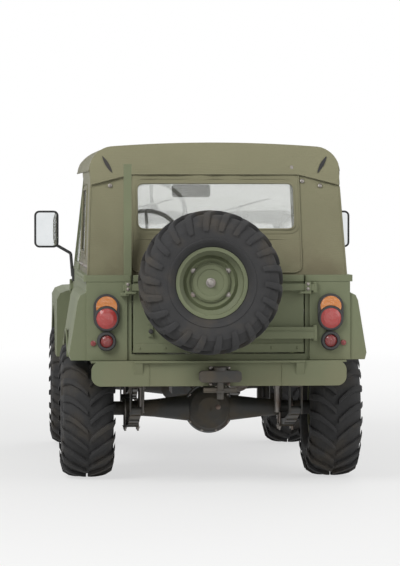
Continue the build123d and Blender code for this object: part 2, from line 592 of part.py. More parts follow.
# Body sides: an outer wall with a swelling rear fender, the wheel box inside and the sill below the door
FENDER_TOP = 1140
FENDER_FOOT = 746
REAR_FENDER_HALF = FENDER_HALF - 8
FENDER_FRONT_Y = REAR_AXLE_Y + REAR_ARCH_R + 70
WALL_IN = BODY_HALF - WALL
DOOR_HINGE_X = BODY_HALF + 13
DOOR_HINGE_Y = DOOR_FRONT_Y + DOOR_GAP / 2
DOOR_HINGES = (830, 1110)
BARREL_R = 9
BARREL_HALF = 20
EAR = 24
PIN_R = 5
with BuildPart() as body_sides:
    for side in (-1, 1):
        x_in, x_out = side * WALL_IN, side * BODY_HALF
        rear_end = REAR_Y + SEAT
        side_plate(x_in, x_out, [
            (rear_end, FENDER_FOOT), (FENDER_FRONT_Y, FENDER_FOOT), (FENDER_FRONT_Y, SILL_Z),
            (FIREWALL_Y - SEAT, SILL_Z), (FIREWALL_Y - SEAT, BELT_Z), (rear_end, BELT_Z),
        ])
        with BuildSketch(Plane.XZ.offset(-rear_end)):
            with BuildLine():
                Polyline([
                    (side * (BODY_HALF - 2), FENDER_TOP), (side * (BODY_HALF + 34), FENDER_TOP - 18),
                    (side * (BODY_HALF + 48), FENDER_TOP - 50), (side * REAR_FENDER_HALF, FENDER_FOOT + 40),
                    (side * (REAR_FENDER_HALF - 10), FENDER_FOOT), (side * (BODY_HALF - 2), FENDER_FOOT),
                ], close=True)
            make_face()
        extrude(amount=rear_end - FENDER_FRONT_Y)
        arch(REAR_AXLE_Y, REAR_ARCH_R, side * (WALL_IN - 5), side * (FENDER_HALF + 40))
        outer_box = [
            (REAR_AXLE_Y - REAR_ARCH_R - 18, FLOOR_Z), (REAR_AXLE_Y - REAR_ARCH_R + 20, BOX_TOP + 18),
            (REAR_AXLE_Y + REAR_ARCH_R - 20, BOX_TOP + 18), (REAR_AXLE_Y + REAR_ARCH_R + 18, FLOOR_Z),
        ]
        inner_box = [
            (REAR_AXLE_Y - REAR_ARCH_R, FLOOR_Z - 1), (REAR_AXLE_Y - REAR_ARCH_R + 36, BOX_TOP),
            (REAR_AXLE_Y + REAR_ARCH_R - 36, BOX_TOP), (REAR_AXLE_Y + REAR_ARCH_R, FLOOR_Z - 1),
        ]
        side_plate(side * BOX_IN, side * (WALL_IN + 1), outer_box)
        side_plate(side * (BOX_IN + 16), side * (WALL_IN + 2), inner_box, Mode.SUBTRACT)
        block(side * (WALL_IN - 1), side * (BODY_HALF + 1), DOOR_REAR_Y - DOOR_GAP, DOOR_FRONT_Y + DOOR_GAP,
              SILL_Z + 46, BELT_Z + 1, Mode.SUBTRACT)
        for level in DOOR_HINGES:
            for ear in (level - BARREL_HALF - SEAT - EAR, level + BARREL_HALF + SEAT):
                block(side * (BODY_HALF - 1), side * (DOOR_HINGE_X - 4), DOOR_FRONT_Y + DOOR_GAP, FIREWALL_Y - 4,
                      ear, ear + EAR)
                block(side * (DOOR_HINGE_X - 8), side * (DOOR_HINGE_X + 4), DOOR_HINGE_Y, FIREWALL_Y - 20, ear, ear + EAR)
                rod((side * DOOR_HINGE_X, DOOR_HINGE_Y, ear), (side * DOOR_HINGE_X, DOOR_HINGE_Y, ear + EAR), BARREL_R)
            reach = BARREL_HALF + SEAT + EAR
            rod((side * DOOR_HINGE_X, DOOR_HINGE_Y, level - reach), (side * DOOR_HINGE_X, DOOR_HINGE_Y, level + reach),
                PIN_R)
save(body_sides, "body_sides")

# Rear panel with the opening for the rear door
REAR_DOOR_Z = (790, BELT_Z + 2)
CARRIER_HINGE = (REAR_DOOR_HALF + 63, REAR_Y - 34)
CARRIER_BARS = ((870, 938), (1150, 1188))
CARRIER_BARREL_R = 14
CARRIER_PIN_R = 7
with BuildPart() as rear_panel:
    half = WALL_IN - SEAT
    block(-half, half, REAR_Y, REAR_Y + WALL, FENDER_FOOT, BELT_Z - SEAT)
    gap = DOOR_GAP
    block(-REAR_DOOR_HALF - gap, REAR_DOOR_HALF + gap, REAR_Y - 1, REAR_Y + WALL + 1,
          REAR_DOOR_Z[0] - gap, BELT_Z + 1, Mode.SUBTRACT)
    for side in (-1, 1):
        block(side * half, side * (BODY_HALF - 1), REAR_Y - SKIN, REAR_Y, FENDER_FOOT, BELT_Z - SEAT)
        block(side * (REAR_DOOR_HALF + gap + 26), side * half, REAR_Y - SKIN, REAR_Y, FENDER_FOOT, BELT_Z - SEAT)
    hinge_x, hinge_y = CARRIER_HINGE
    for low, high in CARRIER_BARS:
        for ear in (low - SEAT - 11, high + SEAT):
            block(hinge_x - CARRIER_BARREL_R, hinge_x + CARRIER_BARREL_R, hinge_y, REAR_Y - SKIN + 1, ear, ear + 11)
            rod((hinge_x, hinge_y, ear), (hinge_x, hinge_y, ear + 11), CARRIER_BARREL_R)
        rod((hinge_x, hinge_y, low - 11), (hinge_x, hinge_y, high + 11), CARRIER_PIN_R)
    block(-REAR_DOOR_HALF - 74, -REAR_DOOR_HALF - 28, REAR_Y - 50, REAR_Y, CARRIER_BARS[1][0] - 28, CARRIER_BARS[1][0] - 10)
save(rear_panel, "rear_panel")

# Capping rail along the top of the body sides and rear corners, and the upright post that stands on it
CAPPING_IN = 46
POST_W = 44
POST_X = -REAR_DOOR_HALF - DOOR_GAP - POST_W / 2
POST_TOP = ROOF_Z - 128
with BuildPart() as capping:
    for side in (-1, 1):
        x_in = side * (WALL_IN - CAPPING_IN)
        x_out = side * (BODY_HALF + 14)
        block(x_in, x_out, REAR_Y - 16, DOOR_REAR_Y - DOOR_GAP, BELT_Z, RAIL_TOP)
        block(side * (REAR_DOOR_HALF + DOOR_GAP), x_out, REAR_Y - 16, REAR_Y + 48, BELT_Z, RAIL_TOP)
    fillet(capping.edges().filter_by(Axis.Z).group_by(Axis.Y)[0], 12)
    block(POST_X - POST_W / 2, POST_X + POST_W / 2, REAR_Y, REAR_Y + POST_W, BELT_Z + 4, POST_TOP)
save(capping, "body_capping")

# Cowl: firewall, scuttle top with the bonnet's hinge ears, dashboard and steering column
COWL_TOP = RAIL_TOP
FIREWALL_FRONT = FIREWALL_Y + PANEL
HINGE_X = 300
HINGE_HALF = 30
HINGE_R = 10
HINGE_PIN_R = 5
BONNET_HINGE_Y = FIREWALL_FRONT + 17
BONNET_HINGE_Z = COWL_TOP + 4
STEER_X = -300
STEER_SHARE = 0.259067
STEER_HUB = (STEER_X, DOOR_FRONT_Y - 340, RAIL_TOP + STEER_SHARE * (ROOF_Z - RAIL_TOP))
COLUMN_FOOT = (STEER_X, FIREWALL_Y + 1, 1140)
COLUMN_R = 24
with BuildPart() as cowl:
    block(-BODY_HALF, BODY_HALF, FIREWALL_Y, FIREWALL_FRONT, RAIL_Z1 + 8, COWL_TOP)
    block(-BODY_HALF, BODY_HALF, DOOR_FRONT_Y + DOOR_GAP, FIREWALL_Y + 1, BELT_Z + SEAT, COWL_TOP)
    dash = WALL_IN - 14
    side_profile = [(DOOR_FRONT_Y + 20, COWL_TOP), (DOOR_FRONT_Y - 90, COWL_TOP - 8), (DOOR_FRONT_Y - 118, COWL_TOP - 34),
                    (DOOR_FRONT_Y - 96, 1030), (DOOR_FRONT_Y - 70, 1022), (DOOR_FRONT_Y - 70, 1170), (DOOR_FRONT_Y + 20, 1190)]
    side_plate(-dash, dash, side_profile)
    for x in (-HINGE_X, HINGE_X):
        for face in (-1, 1):
            near = x + face * (HINGE_HALF + SEAT)
            side_plate(near, near + face * 12, [
                (FIREWALL_FRONT - 20, COWL_TOP - 4), (BONNET_HINGE_Y + HINGE_R, BONNET_HINGE_Z - HINGE_R),
                (BONNET_HINGE_Y + HINGE_R, BONNET_HINGE_Z + HINGE_R), (FIREWALL_FRONT - 20, COWL_TOP + 8),
            ])
        reach = HINGE_HALF + 12
        rod((x - reach, BONNET_HINGE_Y, BONNET_HINGE_Z), (x + reach, BONNET_HINGE_Y, BONNET_HINGE_Z), HINGE_PIN_R)
    column = Vector(*STEER_HUB) - Vector(*COLUMN_FOOT)
    rod(COLUMN_FOOT, tuple(Vector(*STEER_HUB) - column.normalized() * 40), COLUMN_R)
    rod(COLUMN_FOOT, tuple(Vector(*STEER_HUB) + column.normalized() * 18), 11)
save(cowl, "cowl")

STEER_WHEEL_R = 205
STEER_RIM_R = 14
with BuildPart() as steering_wheel:
    axis_dir = column.normalized()
    hub = Plane(origin=STEER_HUB, x_dir=(1, 0, 0), z_dir=axis_dir)
    with BuildSketch(Plane(origin=STEER_HUB, x_dir=(1, 0, 0), z_dir=hub.y_dir)):
        with Locations((STEER_WHEEL_R, 0)):
            Circle(STEER_RIM_R)
    revolve(axis=Axis(STEER_HUB, axis_dir))
    with BuildSketch(hub.offset(-34)):
        Circle(40)
    extrude(amount=48)
    for angle in (90, 210, 330):
        turn = math.radians(angle)
        away = hub.x_dir * math.cos(turn) + hub.y_dir * math.sin(turn)
        rod(STEER_HUB, tuple(Vector(*STEER_HUB) + away * STEER_WHEEL_R), 10)
    with BuildSketch(hub.offset(-34)):
        Circle(11 + RUNNING_FIT)
    extrude(amount=53, mode=Mode.SUBTRACT)
    with BuildSketch(hub.offset(18 + SEAT)):
        Circle(40)
    extrude(amount=8)
    with BuildSketch(hub.offset(13)):
        Circle(40)
        Circle(11 + RUNNING_FIT, mode=Mode.SUBTRACT)
    extrude(amount=6)
save(steering_wheel, "steering_wheel")

# Front fenders: a folded sheet over each wheel with closing walls, open below
FENDER_Y = (FIREWALL_FRONT + SEAT, FRONT_AXLE_Y + 520)
FENDER_LOW = 640
SKIRT_Z = 900
FENDER_CROWN = 1092
LAMP_X = BONNET_HALF + 112
LAMP_Z = 925
LAMP_R = 92
# Columns: distance out from the bonnet edge as a share, height
FENDER_SHAPE = [(0.0, FENDER_CROWN), (0.76, FENDER_CROWN - 14), (0.925, FENDER_CROWN - 34), (0.99, FENDER_CROWN - 72),
                (1.0, FENDER_LOW)]


def fender_line(side, inset):
    """The fender's section from the bonnet to its foot, set in from the outside by a wall."""
    width = FENDER_HALF - BONNET_HALF
    points = []
    for share, height in FENDER_SHAPE:
        low = height if height == FENDER_LOW else height - inset
        points.append((side * (BONNET_HALF + share * width - (inset if share > 0.9 else 0)), low))
    return points


with BuildPart() as fenders:
    for side in (-1, 1):
        outer, inner = fender_line(side, 0), fender_line(side, SKIN)
        inner[0] = (side * (BONNET_HALF + SKIN), inner[0][1])
        skirt = [(side * (BONNET_HALF + SKIN), SKIRT_Z), (side * BONNET_HALF, SKIRT_Z)]
        cross_plate(*FENDER_Y, outer + inner[::-1] + skirt)
        wall = fender_line(side, 2)
        wall_foot = [(side * (BONNET_HALF + 80), FENDER_LOW), (side * (BONNET_HALF + 2), SKIRT_Z - 60)]
        cross_plate(FENDER_Y[0], FENDER_Y[0] + SKIN, wall + wall_foot)
        cross_plate(FENDER_Y[1] - SKIN, FENDER_Y[1], wall + wall_foot)
        arch(FRONT_AXLE_Y, FRONT_ARCH_R, side * (FENDER_HALF - 60), side * (FENDER_HALF + 40))
        lamp = side * LAMP_X
        rod((lamp, FENDER_Y[1] - SKIN, LAMP_Z), (lamp, FENDER_Y[1], LAMP_Z), LAMP_R + 8, Mode.SUBTRACT)
save(fenders, "front_fenders")

# Grille panel with level slots between the headlamps
GRILLE_Y = FENDER_Y[1] + SEAT
GRILLE_LOW = 704
MARKER_X = FENDER_HALF - 80
MARKER_Z = 1020
SLOT_COUNT = 5
SLOT_PITCH = 56
SLOT_LENGTH = 2 * BONNET_HALF - 220
with BuildPart() as grille:
    outline = fender_line(-1, 0)[::-1][1:] + fender_line(1, 0)[:-1]
    edge = FENDER_HALF - 6
    cross_plate(GRILLE_Y, GRILLE_Y + PANEL, [(-edge, GRILLE_LOW)] + outline + [(edge, GRILLE_LOW)])
    with BuildSketch(Plane.XZ.offset(-GRILLE_Y)):
        with Locations((0, LAMP_Z)):
            with GridLocations(1, SLOT_PITCH, 1, SLOT_COUNT):
                SlotOverall(SLOT_LENGTH, 34)
        with Locations((-LAMP_X, LAMP_Z), (LAMP_X, LAMP_Z)):
            Circle(LAMP_R)
    extrude(amount=-PANEL, mode=Mode.SUBTRACT)
    for side in (-1, 1):
        x = side * RAIL_FRONT_X
        block(x - 40, x + 40, GRILLE_Y, GRILLE_Y + PANEL, RAIL_Z1 + SEAT, GRILLE_LOW + 1)
save(grille, "grille_panel")

LENS_DOME = [(0, 34), (50, 29), (80, 18), (LAMP_R + 1, 8)]
with BuildPart() as front_lamps:
    for side in (-1, 1):
        face = Plane(origin=(side * LAMP_X, GRILLE_Y + PANEL + SEAT, LAMP_Z), x_dir=(0, 0, 1), z_dir=(0, 1, 0))
        bowl = LAMP_R - SEAT
        ring(face, LENS_DOME + [(LAMP_R + 4, 24), (LAMP_R + 14, 20), (LAMP_R + 14, 0), (bowl, 0), (bowl, -PANEL),
                                (60, -86), (0, -96)])
        marker = Plane(origin=(side * MARKER_X, GRILLE_Y + PANEL + SEAT, MARKER_Z), x_dir=(0, 0, 1), z_dir=(0, 1, 0))
        ring(marker, [(0, 0), (36, 0), (36, 14), (26, 32), (0, 40)])
save(front_lamps, "front_lamps")

# Bonnet: a crowned lid that tapers down to the grille, with two hinge knuckles at its rear edge
BONNET_REAR = FIREWALL_FRONT + 18
BONNET_FRONT = GRILLE_Y + PANEL
BONNET_SIDE = BONNET_HALF - 6
BONNET_LOW = FENDER_CROWN + 6
# Columns: place along the car, height of the crown's edge, height of its middle
BONNET_SECTIONS = [(BONNET_REAR, COWL_TOP - 56, COWL_TOP - 3), (BONNET_FRONT, COWL_TOP - 124, COWL_TOP - 84)]


def bonnet_loft(inset, mode):
    """The bonnet's form between its two sections, or its inside when it is set in by the sheet."""
    sections = []
    low = BONNET_LOW - (1 if inset else 0)
    for direction, (y, edge_z, crown_z) in zip((-1, 1), BONNET_SECTIONS):
        half = BONNET_SIDE - inset
        with BuildSketch(Plane.XZ.offset(direction * inset - y)) as section:
            with BuildLine():
                Polyline([(-half, edge_z - inset), (-half, low), (half, low), (half, edge_z - inset)])
                ThreePointArc((half, edge_z - inset), (0, crown_z - inset), (-half, edge_z - inset))
            make_face()
        sections.append(section.sketch)
    loft(sections, ruled=True, mode=mode)


with BuildPart() as bonnet:
    bonnet_loft(0, Mode.ADD)
    bonnet_loft(SKIN, Mode.SUBTRACT)
    for x in (-HINGE_X, HINGE_X):
        ends = (x - HINGE_HALF, x + HINGE_HALF)
        side_plate(*ends, [
            (BONNET_HINGE_Y, BONNET_HINGE_Z + HINGE_R), (BONNET_REAR + 70, BONNET_HINGE_Z + 2),
            (BONNET_REAR + 70, COWL_TOP - 34), (BONNET_REAR + 4, COWL_TOP - 34), (BONNET_HINGE_Y, BONNET_HINGE_Z - HINGE_R),
        ])
        start, end = ((place, BONNET_HINGE_Y, BONNET_HINGE_Z) for place in ends)
        rod(start, end, HINGE_R)
        rod(start, end, HINGE_PIN_R + RUNNING_FIT, Mode.SUBTRACT)
save(bonnet, "bonnet")

# Windscreen: a leaning frame that stands on the scuttle, its glass and the mirror below its top rail
WS_LEAN = 11
WS_Y = DOOR_FRONT_Y + 14
WS_T = 34
WS_HEIGHT = ROOF_Z - RAIL_TOP - 132
WS_BOTTOM = BODY_HALF - 28
WS_TOP = WS_BOTTOM - 42
WS_MARGIN = 48
WS_TURN = math.radians(WS_LEAN)
WS_PLANE = Plane(origin=(0, WS_Y, COWL_TOP + SEAT), x_dir=(1, 0, 0), z_dir=(0, -math.cos(WS_TURN), -math.sin(WS_TURN)))


def pane_sketch(plane, points, inset, bend):
    """A rounded outline on a plane: the points are moved in by an inset and its corners are bent."""
    with BuildSketch(plane) as outline:
        with BuildLine():
            Polyline(points, close=True)
        make_face()
        if inset:
            offset(amount=-inset, kind=Kind.INTERSECTION)
        if bend:
            fillet(outline.vertices(), bend)
    return outline.sketch


WS_POINTS = [(-WS_BOTTOM, 0), (WS_BOTTOM, 0), (WS_TOP, WS_HEIGHT), (-WS_TOP, WS_HEIGHT)]
with BuildPart() as windscreen:
    extrude(pane_sketch(WS_PLANE, WS_POINTS, 0, 20), amount=-WS_T)
    extrude(pane_sketch(WS_PLANE, WS_POINTS, WS_MARGIN, 40), amount=-WS_T, mode=Mode.SUBTRACT)
    block(-WS_BOTTOM + 40, WS_BOTTOM - 40, WS_Y - 1, WS_Y + 60, COWL_TOP - 30, COWL_TOP + SEAT, Mode.SUBTRACT)
save(windscreen, "windscreen_frame")

with BuildPart() as windscreen_glass:
    extrude(pane_sketch(WS_PLANE.offset(-WS_T / 2), WS_POINTS, WS_MARGIN + SEAT, 40 - SEAT), amount=-5)
save(windscreen_glass, "windscreen_glass")

MIRROR_Z = COWL_TOP + WS_HEIGHT - 144
with BuildPart() as interior_mirror:
    mirror_y = WS_Y - math.tan(WS_TURN) * (MIRROR_Z - COWL_TOP) - 62
    with BuildSketch(Plane.XZ.offset(-mirror_y)):
        with Locations((0, MIRROR_Z)):
            RectangleRounded(252, 84, 20)
    extrude(amount=-22)
    stem_foot = WS_PLANE.from_local_coords((0, WS_HEIGHT - 22, SEAT))
    rod((0, mirror_y + 12, MIRROR_Z + 20), tuple(stem_foot + WS_PLANE.z_dir * 6), 7)
    with BuildSketch(WS_PLANE.offset(SEAT)):
        with Locations((0, WS_HEIGHT - 22)):
            Circle(20)
    extrude(amount=9)
save(interior_mirror, "interior_mirror")

# Canvas top: a hollow sheet over bows, with door openings, a leaning rear curtain and clear panes
CANVAS_T = 14
CANVAS_BOTTOM = BODY_HALF - 12
CANVAS_TOP = CANVAS_BOTTOM - 24
CANVAS_BEND_Z = ROOF_Z - 212
CANVAS_SHOULDER = (CANVAS_TOP - 114, ROOF_Z - 24)
CURTAIN_Y = REAR_Y + 60
CURTAIN_LEAN = 240
CURTAIN_RISE = ROOF_Z - RAIL_TOP
CANVAS_FRONT = WS_Y - math.tan(WS_TURN) * (WS_HEIGHT * math.cos(WS_TURN)) + WS_T + 4
ROOF_BREAK_Y = DOOR_FRONT_Y - 520
ROOF_FRONT_Z = ROOF_Z - 100
DOOR_TOP = ROOF_Z - 170
CANVAS_LOW = DOOR_TOP + 8
QUARTER_Y = DOOR_REAR_Y - DOOR_GAP - 6


def canvas_form(inset, mode):
    """The canvas's outside, or the space inside it when it is set in by the cloth."""
    bend = (CANVAS_SHOULDER[0] - inset * 0.35, CANVAS_SHOULDER[1] - inset)
    top = CANVAS_TOP - inset
    mid = (CANVAS_TOP - 30 - inset * 0.8, ROOF_Z - 72 - inset * 0.6)
    with BuildSketch(Plane.XZ.offset(-(CURTAIN_Y + inset))) as outline:
        with BuildLine():
            Polyline([(-top, CANVAS_BEND_Z), (inset - CANVAS_BOTTOM, RAIL_TOP + SEAT), (CANVAS_BOTTOM - inset, RAIL_TOP + SEAT),
                      (top, CANVAS_BEND_Z)])
            ThreePointArc((top, CANVAS_BEND_Z), mid, bend)
            ThreePointArc(bend, (0, ROOF_Z - inset), (-bend[0], bend[1]))
            ThreePointArc((-bend[0], bend[1]), (-mid[0], mid[1]), (-top, CANVAS_BEND_Z))
        make_face()
    extrude(outline.sketch, amount=CURTAIN_Y - CANVAS_FRONT + 2 * inset, mode=mode)
    wide = BODY_HALF + 40
    back = CURTAIN_Y + inset * 1.05
    side_plate(-wide, wide, [
        (back - 60, RAIL_TOP - 1), (back, RAIL_TOP - 1), (back + CURTAIN_LEAN, ROOF_Z - 40),
        (back + CURTAIN_LEAN + 34, ROOF_Z + 2), (back - 60, ROOF_Z + 2),
    ], Mode.SUBTRACT)
    side_plate(-wide, wide, [
        (ROOF_BREAK_Y, ROOF_Z + 2 - inset), (CANVAS_FRONT + 1, ROOF_FRONT_Z - inset), (CANVAS_FRONT + 1, ROOF_Z + 2),
        (ROOF_BREAK_Y, ROOF_Z + 2),
    ], Mode.SUBTRACT)


with BuildPart() as canvas_inside:
    canvas_form(CANVAS_T, Mode.ADD)

CURTAIN_TURN = math.atan2(CURTAIN_LEAN, ROOF_Z - 40 - RAIL_TOP)
CURTAIN_PLANE = Plane(origin=(0, CURTAIN_Y, RAIL_TOP), x_dir=(1, 0, 0),
                      z_dir=(0, -math.cos(CURTAIN_TURN), math.sin(CURTAIN_TURN)))
PANE_HALF = REAR_DOOR_HALF - 33
PANE_LOW = 0.3575 * CURTAIN_RISE
PANE_HIGH = 0.728 * CURTAIN_RISE
REAR_PANE = [(-PANE_HALF, PANE_LOW), (PANE_HALF, PANE_LOW), (PANE_HALF, PANE_HIGH), (-PANE_HALF, PANE_HIGH)]
SIDE_TURN = math.atan2(CANVAS_BOTTOM - CANVAS_TOP, CANVAS_BEND_Z - RAIL_TOP)
QUARTER_LOW = 0.2143 * (CANVAS_BEND_Z - RAIL_TOP)
QUARTER_HIGH = 0.8929 * (CANVAS_BEND_Z - RAIL_TOP)
QUARTER_PANE = [(QUARTER_Y - 830, QUARTER_LOW), (QUARTER_Y - 110, QUARTER_LOW), (QUARTER_Y - 110, QUARTER_HIGH),
                (QUARTER_Y - 740, QUARTER_HIGH)]


def quarter_plane(side):
    """The outer face of the canvas beside the load space, drawn along the car and up."""
    return Plane(origin=(side * CANVAS_BOTTOM, 0, RAIL_TOP), x_dir=(0, 1, 0),
                 z_dir=(math.cos(SIDE_TURN), 0, side * math.sin(SIDE_TURN)))


with BuildPart() as canvas:
    canvas_form(0, Mode.ADD)
    add(canvas_inside.part, mode=Mode.SUBTRACT)
    wide = BODY_HALF + 40
    inner = CANVAS_BOTTOM - CANVAS_T
    block(-inner, inner, CURTAIN_Y + 30, CANVAS_FRONT + 1, RAIL_TOP - 1, RAIL_TOP + 30, Mode.SUBTRACT)
    block(-wide, wide, QUARTER_Y, CANVAS_FRONT + 1, RAIL_TOP - 1, CANVAS_LOW, Mode.SUBTRACT)
    ws_top = COWL_TOP + SEAT + WS_HEIGHT * math.cos(WS_TURN) + WS_T * math.sin(WS_TURN) + SEAT
    block(-wide, wide, CANVAS_FRONT - 70, CANVAS_FRONT + 1, RAIL_TOP, ws_top, Mode.SUBTRACT)
    free = REAR_DOOR_HALF + DOOR_GAP
    block(-free, free, CURTAIN_Y - 60, CURTAIN_Y + 60, RAIL_TOP - 1, RAIL_TOP + 8, Mode.SUBTRACT)
    extrude(pane_sketch(CURTAIN_PLANE, REAR_PANE, 0, 46), amount=40, both=True, mode=Mode.SUBTRACT)
    for side in (-1, 1):
        extrude(pane_sketch(quarter_plane(side), QUARTER_PANE, 0, 46), amount=40, both=True, mode=Mode.SUBTRACT)
save(canvas, "canvas_top")

with BuildPart() as canvas_windows:
    extrude(pane_sketch(CURTAIN_PLANE.offset(-5), REAR_PANE, SEAT, 46 - SEAT), amount=-4)
    for side in (-1, 1):
        extrude(pane_sketch(quarter_plane(side).offset(-side * 5), QUARTER_PANE, SEAT, 46 - SEAT), amount=-side * 4)
save(canvas_windows, "canvas_windows")

# Bows: bent tubes that stand on the capping and carry the canvas
BOW_R = 13
BOW_SHAPE = [(CANVAS_BOTTOM - 50, RAIL_TOP + 6), (CANVAS_TOP - 40, ROOF_Z - 142), (CANVAS_SHOULDER[0] - 26, ROOF_Z - 60),
             (0, ROOF_Z - 37)]
BOW_ROD_X = 420
BOW_ROD_Z = ROOF_Z - 54
MAIN_BOW_Y = QUARTER_Y - 40


def tube(points, radius, bend):
    """A bent round tube along a line of points."""
    with BuildLine() as path:
        FilletPolyline(points, radius=bend)
    with BuildSketch(Plane(origin=path.line @ 0, z_dir=path.line % 0)) as section:
        Circle(radius)
    sweep(section.sketch, path=path.line)


with BuildPart() as bows:
    for foot_y, rise_lean in ((MAIN_BOW_Y, 0), (CURTAIN_Y + 62, CURTAIN_LEAN)):
        half = [(x, foot_y + rise_lean * (z - RAIL_TOP) / CURTAIN_RISE, z) for x, z in BOW_SHAPE]
        tube(half + [(-x, y, z) for x, y, z in half[-2::-1]], BOW_R, 60)
        for side in (-1, 1):
            x = side * BOW_SHAPE[0][0]
            block(x - 17, x + 17, foot_y - 30, foot_y + 30, RAIL_TOP + SEAT, RAIL_TOP + 10)
    for side in (-1, 1):
        rear_y = CURTAIN_Y + 62 + CURTAIN_LEAN * (BOW_ROD_Z + 4 - RAIL_TOP) / CURTAIN_RISE
        rod((side * BOW_ROD_X, MAIN_BOW_Y, BOW_ROD_Z), (side * BOW_ROD_X, rear_y, BOW_ROD_Z), BOW_R - 3)
save(bows, "hood_bows")

# Seats: two in front on boxes, two benches on the wheel boxes
with BuildPart() as seats:
    floor = FLOOR_Z + FLOOR_T + SEAT
    for side in (-1, 1):
        x = side * 340
        block(x - 180, x + 180, DOOR_REAR_Y + 130, DOOR_REAR_Y + 500, floor, 942)
        with Locations((x, DOOR_REAR_Y + 320, 990)):
            Box(460, 480, 110)
        side_plate(x - 220, x + 220, [
            (DOOR_REAR_Y + 100, 960), (DOOR_REAR_Y + 210, 960), (DOOR_REAR_Y + 120, 1480), (DOOR_REAR_Y + 30, 1480),
        ])
save(seats, "seats")

BENCH_W = 190
BENCH_HALF = 440
BENCH_T = 70
with BuildPart() as benches:
    bench_out = WALL_IN - 16
    bench_z = BOX_TOP + 18
    for side in (-1, 1):
        block(side * (bench_out - BENCH_W), side * bench_out, REAR_AXLE_Y - BENCH_HALF, REAR_AXLE_Y + BENCH_HALF,
              bench_z + SEAT, bench_z + BENCH_T)
    fillet(benches.edges().filter_by(Axis.Y), 14)
save(benches, "bench_seats")

# Side doors: a pressed panel with a window frame that leans inwards, carried on two outside hinges
DOOR_IN = WALL_IN + 6
DOOR_LOW = SILL_Z + 46 + DOOR_GAP
FRAME_T = 24
FRAME_OUT = BODY_HALF - 4
FRAME_TOP_X = CANVAS_TOP - 32
FRAME_TURN = math.atan2(FRAME_OUT - FRAME_TOP_X, DOOR_TOP - RAIL_TOP)
FRAME_RISE = math.hypot(FRAME_OUT - FRAME_TOP_X, DOOR_TOP - RAIL_TOP)
PILLAR_LEAN = math.tan(WS_TURN) * (DOOR_TOP - RAIL_TOP)
DOOR_WINDOW = [(DOOR_REAR_Y + 6, -2), (DOOR_FRONT_Y - 6, -2), (DOOR_FRONT_Y - 6 - PILLAR_LEAN, FRAME_RISE),
               (DOOR_REAR_Y + 6, FRAME_RISE)]
WINDOW_MARGIN = 42
MIRROR_ARM_Y = DOOR_FRONT_Y - 245
MIRROR_HEAD = (BODY_HALF + 180, RAIL_TOP + 247)


def door_plane(side):
    """The outer face of a door's window frame, drawn along the car and up."""
    return Plane(origin=(side * FRAME_OUT, 0, RAIL_TOP), x_dir=(0, 1, 0),
                 z_dir=(math.cos(FRAME_TURN), 0, side * math.sin(FRAME_TURN)))


for side, side_name in ((-1, "left"), (1, "right")):
    with BuildPart() as door:
        block(side * DOOR_IN, side * BODY_HALF, DOOR_REAR_Y, DOOR_FRONT_Y, DOOR_LOW, RAIL_TOP)
        fillet(door.edges().filter_by(Axis.X).group_by(Axis.Z)[0], 30)
        block(side * DOOR_IN, side * (DOOR_IN + 18), DOOR_REAR_Y + 60, DOOR_FRONT_Y - 60, DOOR_LOW + 60, RAIL_TOP - 60,
              Mode.SUBTRACT)
        extrude(pane_sketch(door_plane(side), DOOR_WINDOW, 0, 0), amount=-side * FRAME_T)
        extrude(pane_sketch(door_plane(side), DOOR_WINDOW, WINDOW_MARGIN, 36), amount=-side * FRAME_T, mode=Mode.SUBTRACT)
        for level in DOOR_HINGES:
            block(side * (BODY_HALF - 1), side * (DOOR_HINGE_X + 4), DOOR_FRONT_Y - 60, DOOR_HINGE_Y,
                  level - BARREL_HALF, level + BARREL_HALF)
            low = (side * DOOR_HINGE_X, DOOR_HINGE_Y, level - BARREL_HALF)
            high = (side * DOOR_HINGE_X, DOOR_HINGE_Y, level + BARREL_HALF)
            rod(low, high, BARREL_R)
            rod(low, high, PIN_R + RUNNING_FIT, Mode.SUBTRACT)
        block(side * (BODY_HALF - 1), side * (BODY_HALF + 22), DOOR_REAR_Y + 50, DOOR_REAR_Y + 80, 1090, 1120)
        block(side * (BODY_HALF + 12), side * (BODY_HALF + 24), DOOR_REAR_Y + 50, DOOR_REAR_Y + 180, 1094, 1116)
    save(door, f"door_{side_name}")

    with BuildPart() as glass:
        inset = WINDOW_MARGIN + SEAT
        extrude(pane_sketch(door_plane(side).offset(-side * 9), DOOR_WINDOW, inset, 36 - SEAT), amount=-side * 5)
    save(glass, f"door_glass_{side_name}")

    with BuildPart() as mirror:
        head_x, head_z = MIRROR_HEAD
        with BuildSketch(Plane.XZ.offset(-MIRROR_ARM_Y + 22)):
            with Locations((side * head_x, head_z)):
                RectangleRounded(158, 240, 34)
        extrude(amount=-44)
        foot_x = BODY_HALF + SEAT
        block(side * foot_x, side * (foot_x + 14), MIRROR_ARM_Y - 30, MIRROR_ARM_Y + 30, RAIL_TOP - 90, RAIL_TOP - 10)
        tube([(side * (foot_x + 10), MIRROR_ARM_Y, RAIL_TOP - 60), (side * (foot_x + 22), MIRROR_ARM_Y, head_z - 157),
              (side * (head_x - 50), MIRROR_ARM_Y, head_z - 95)], 10, 20)
    save(mirror, f"mirror_{side_name}")

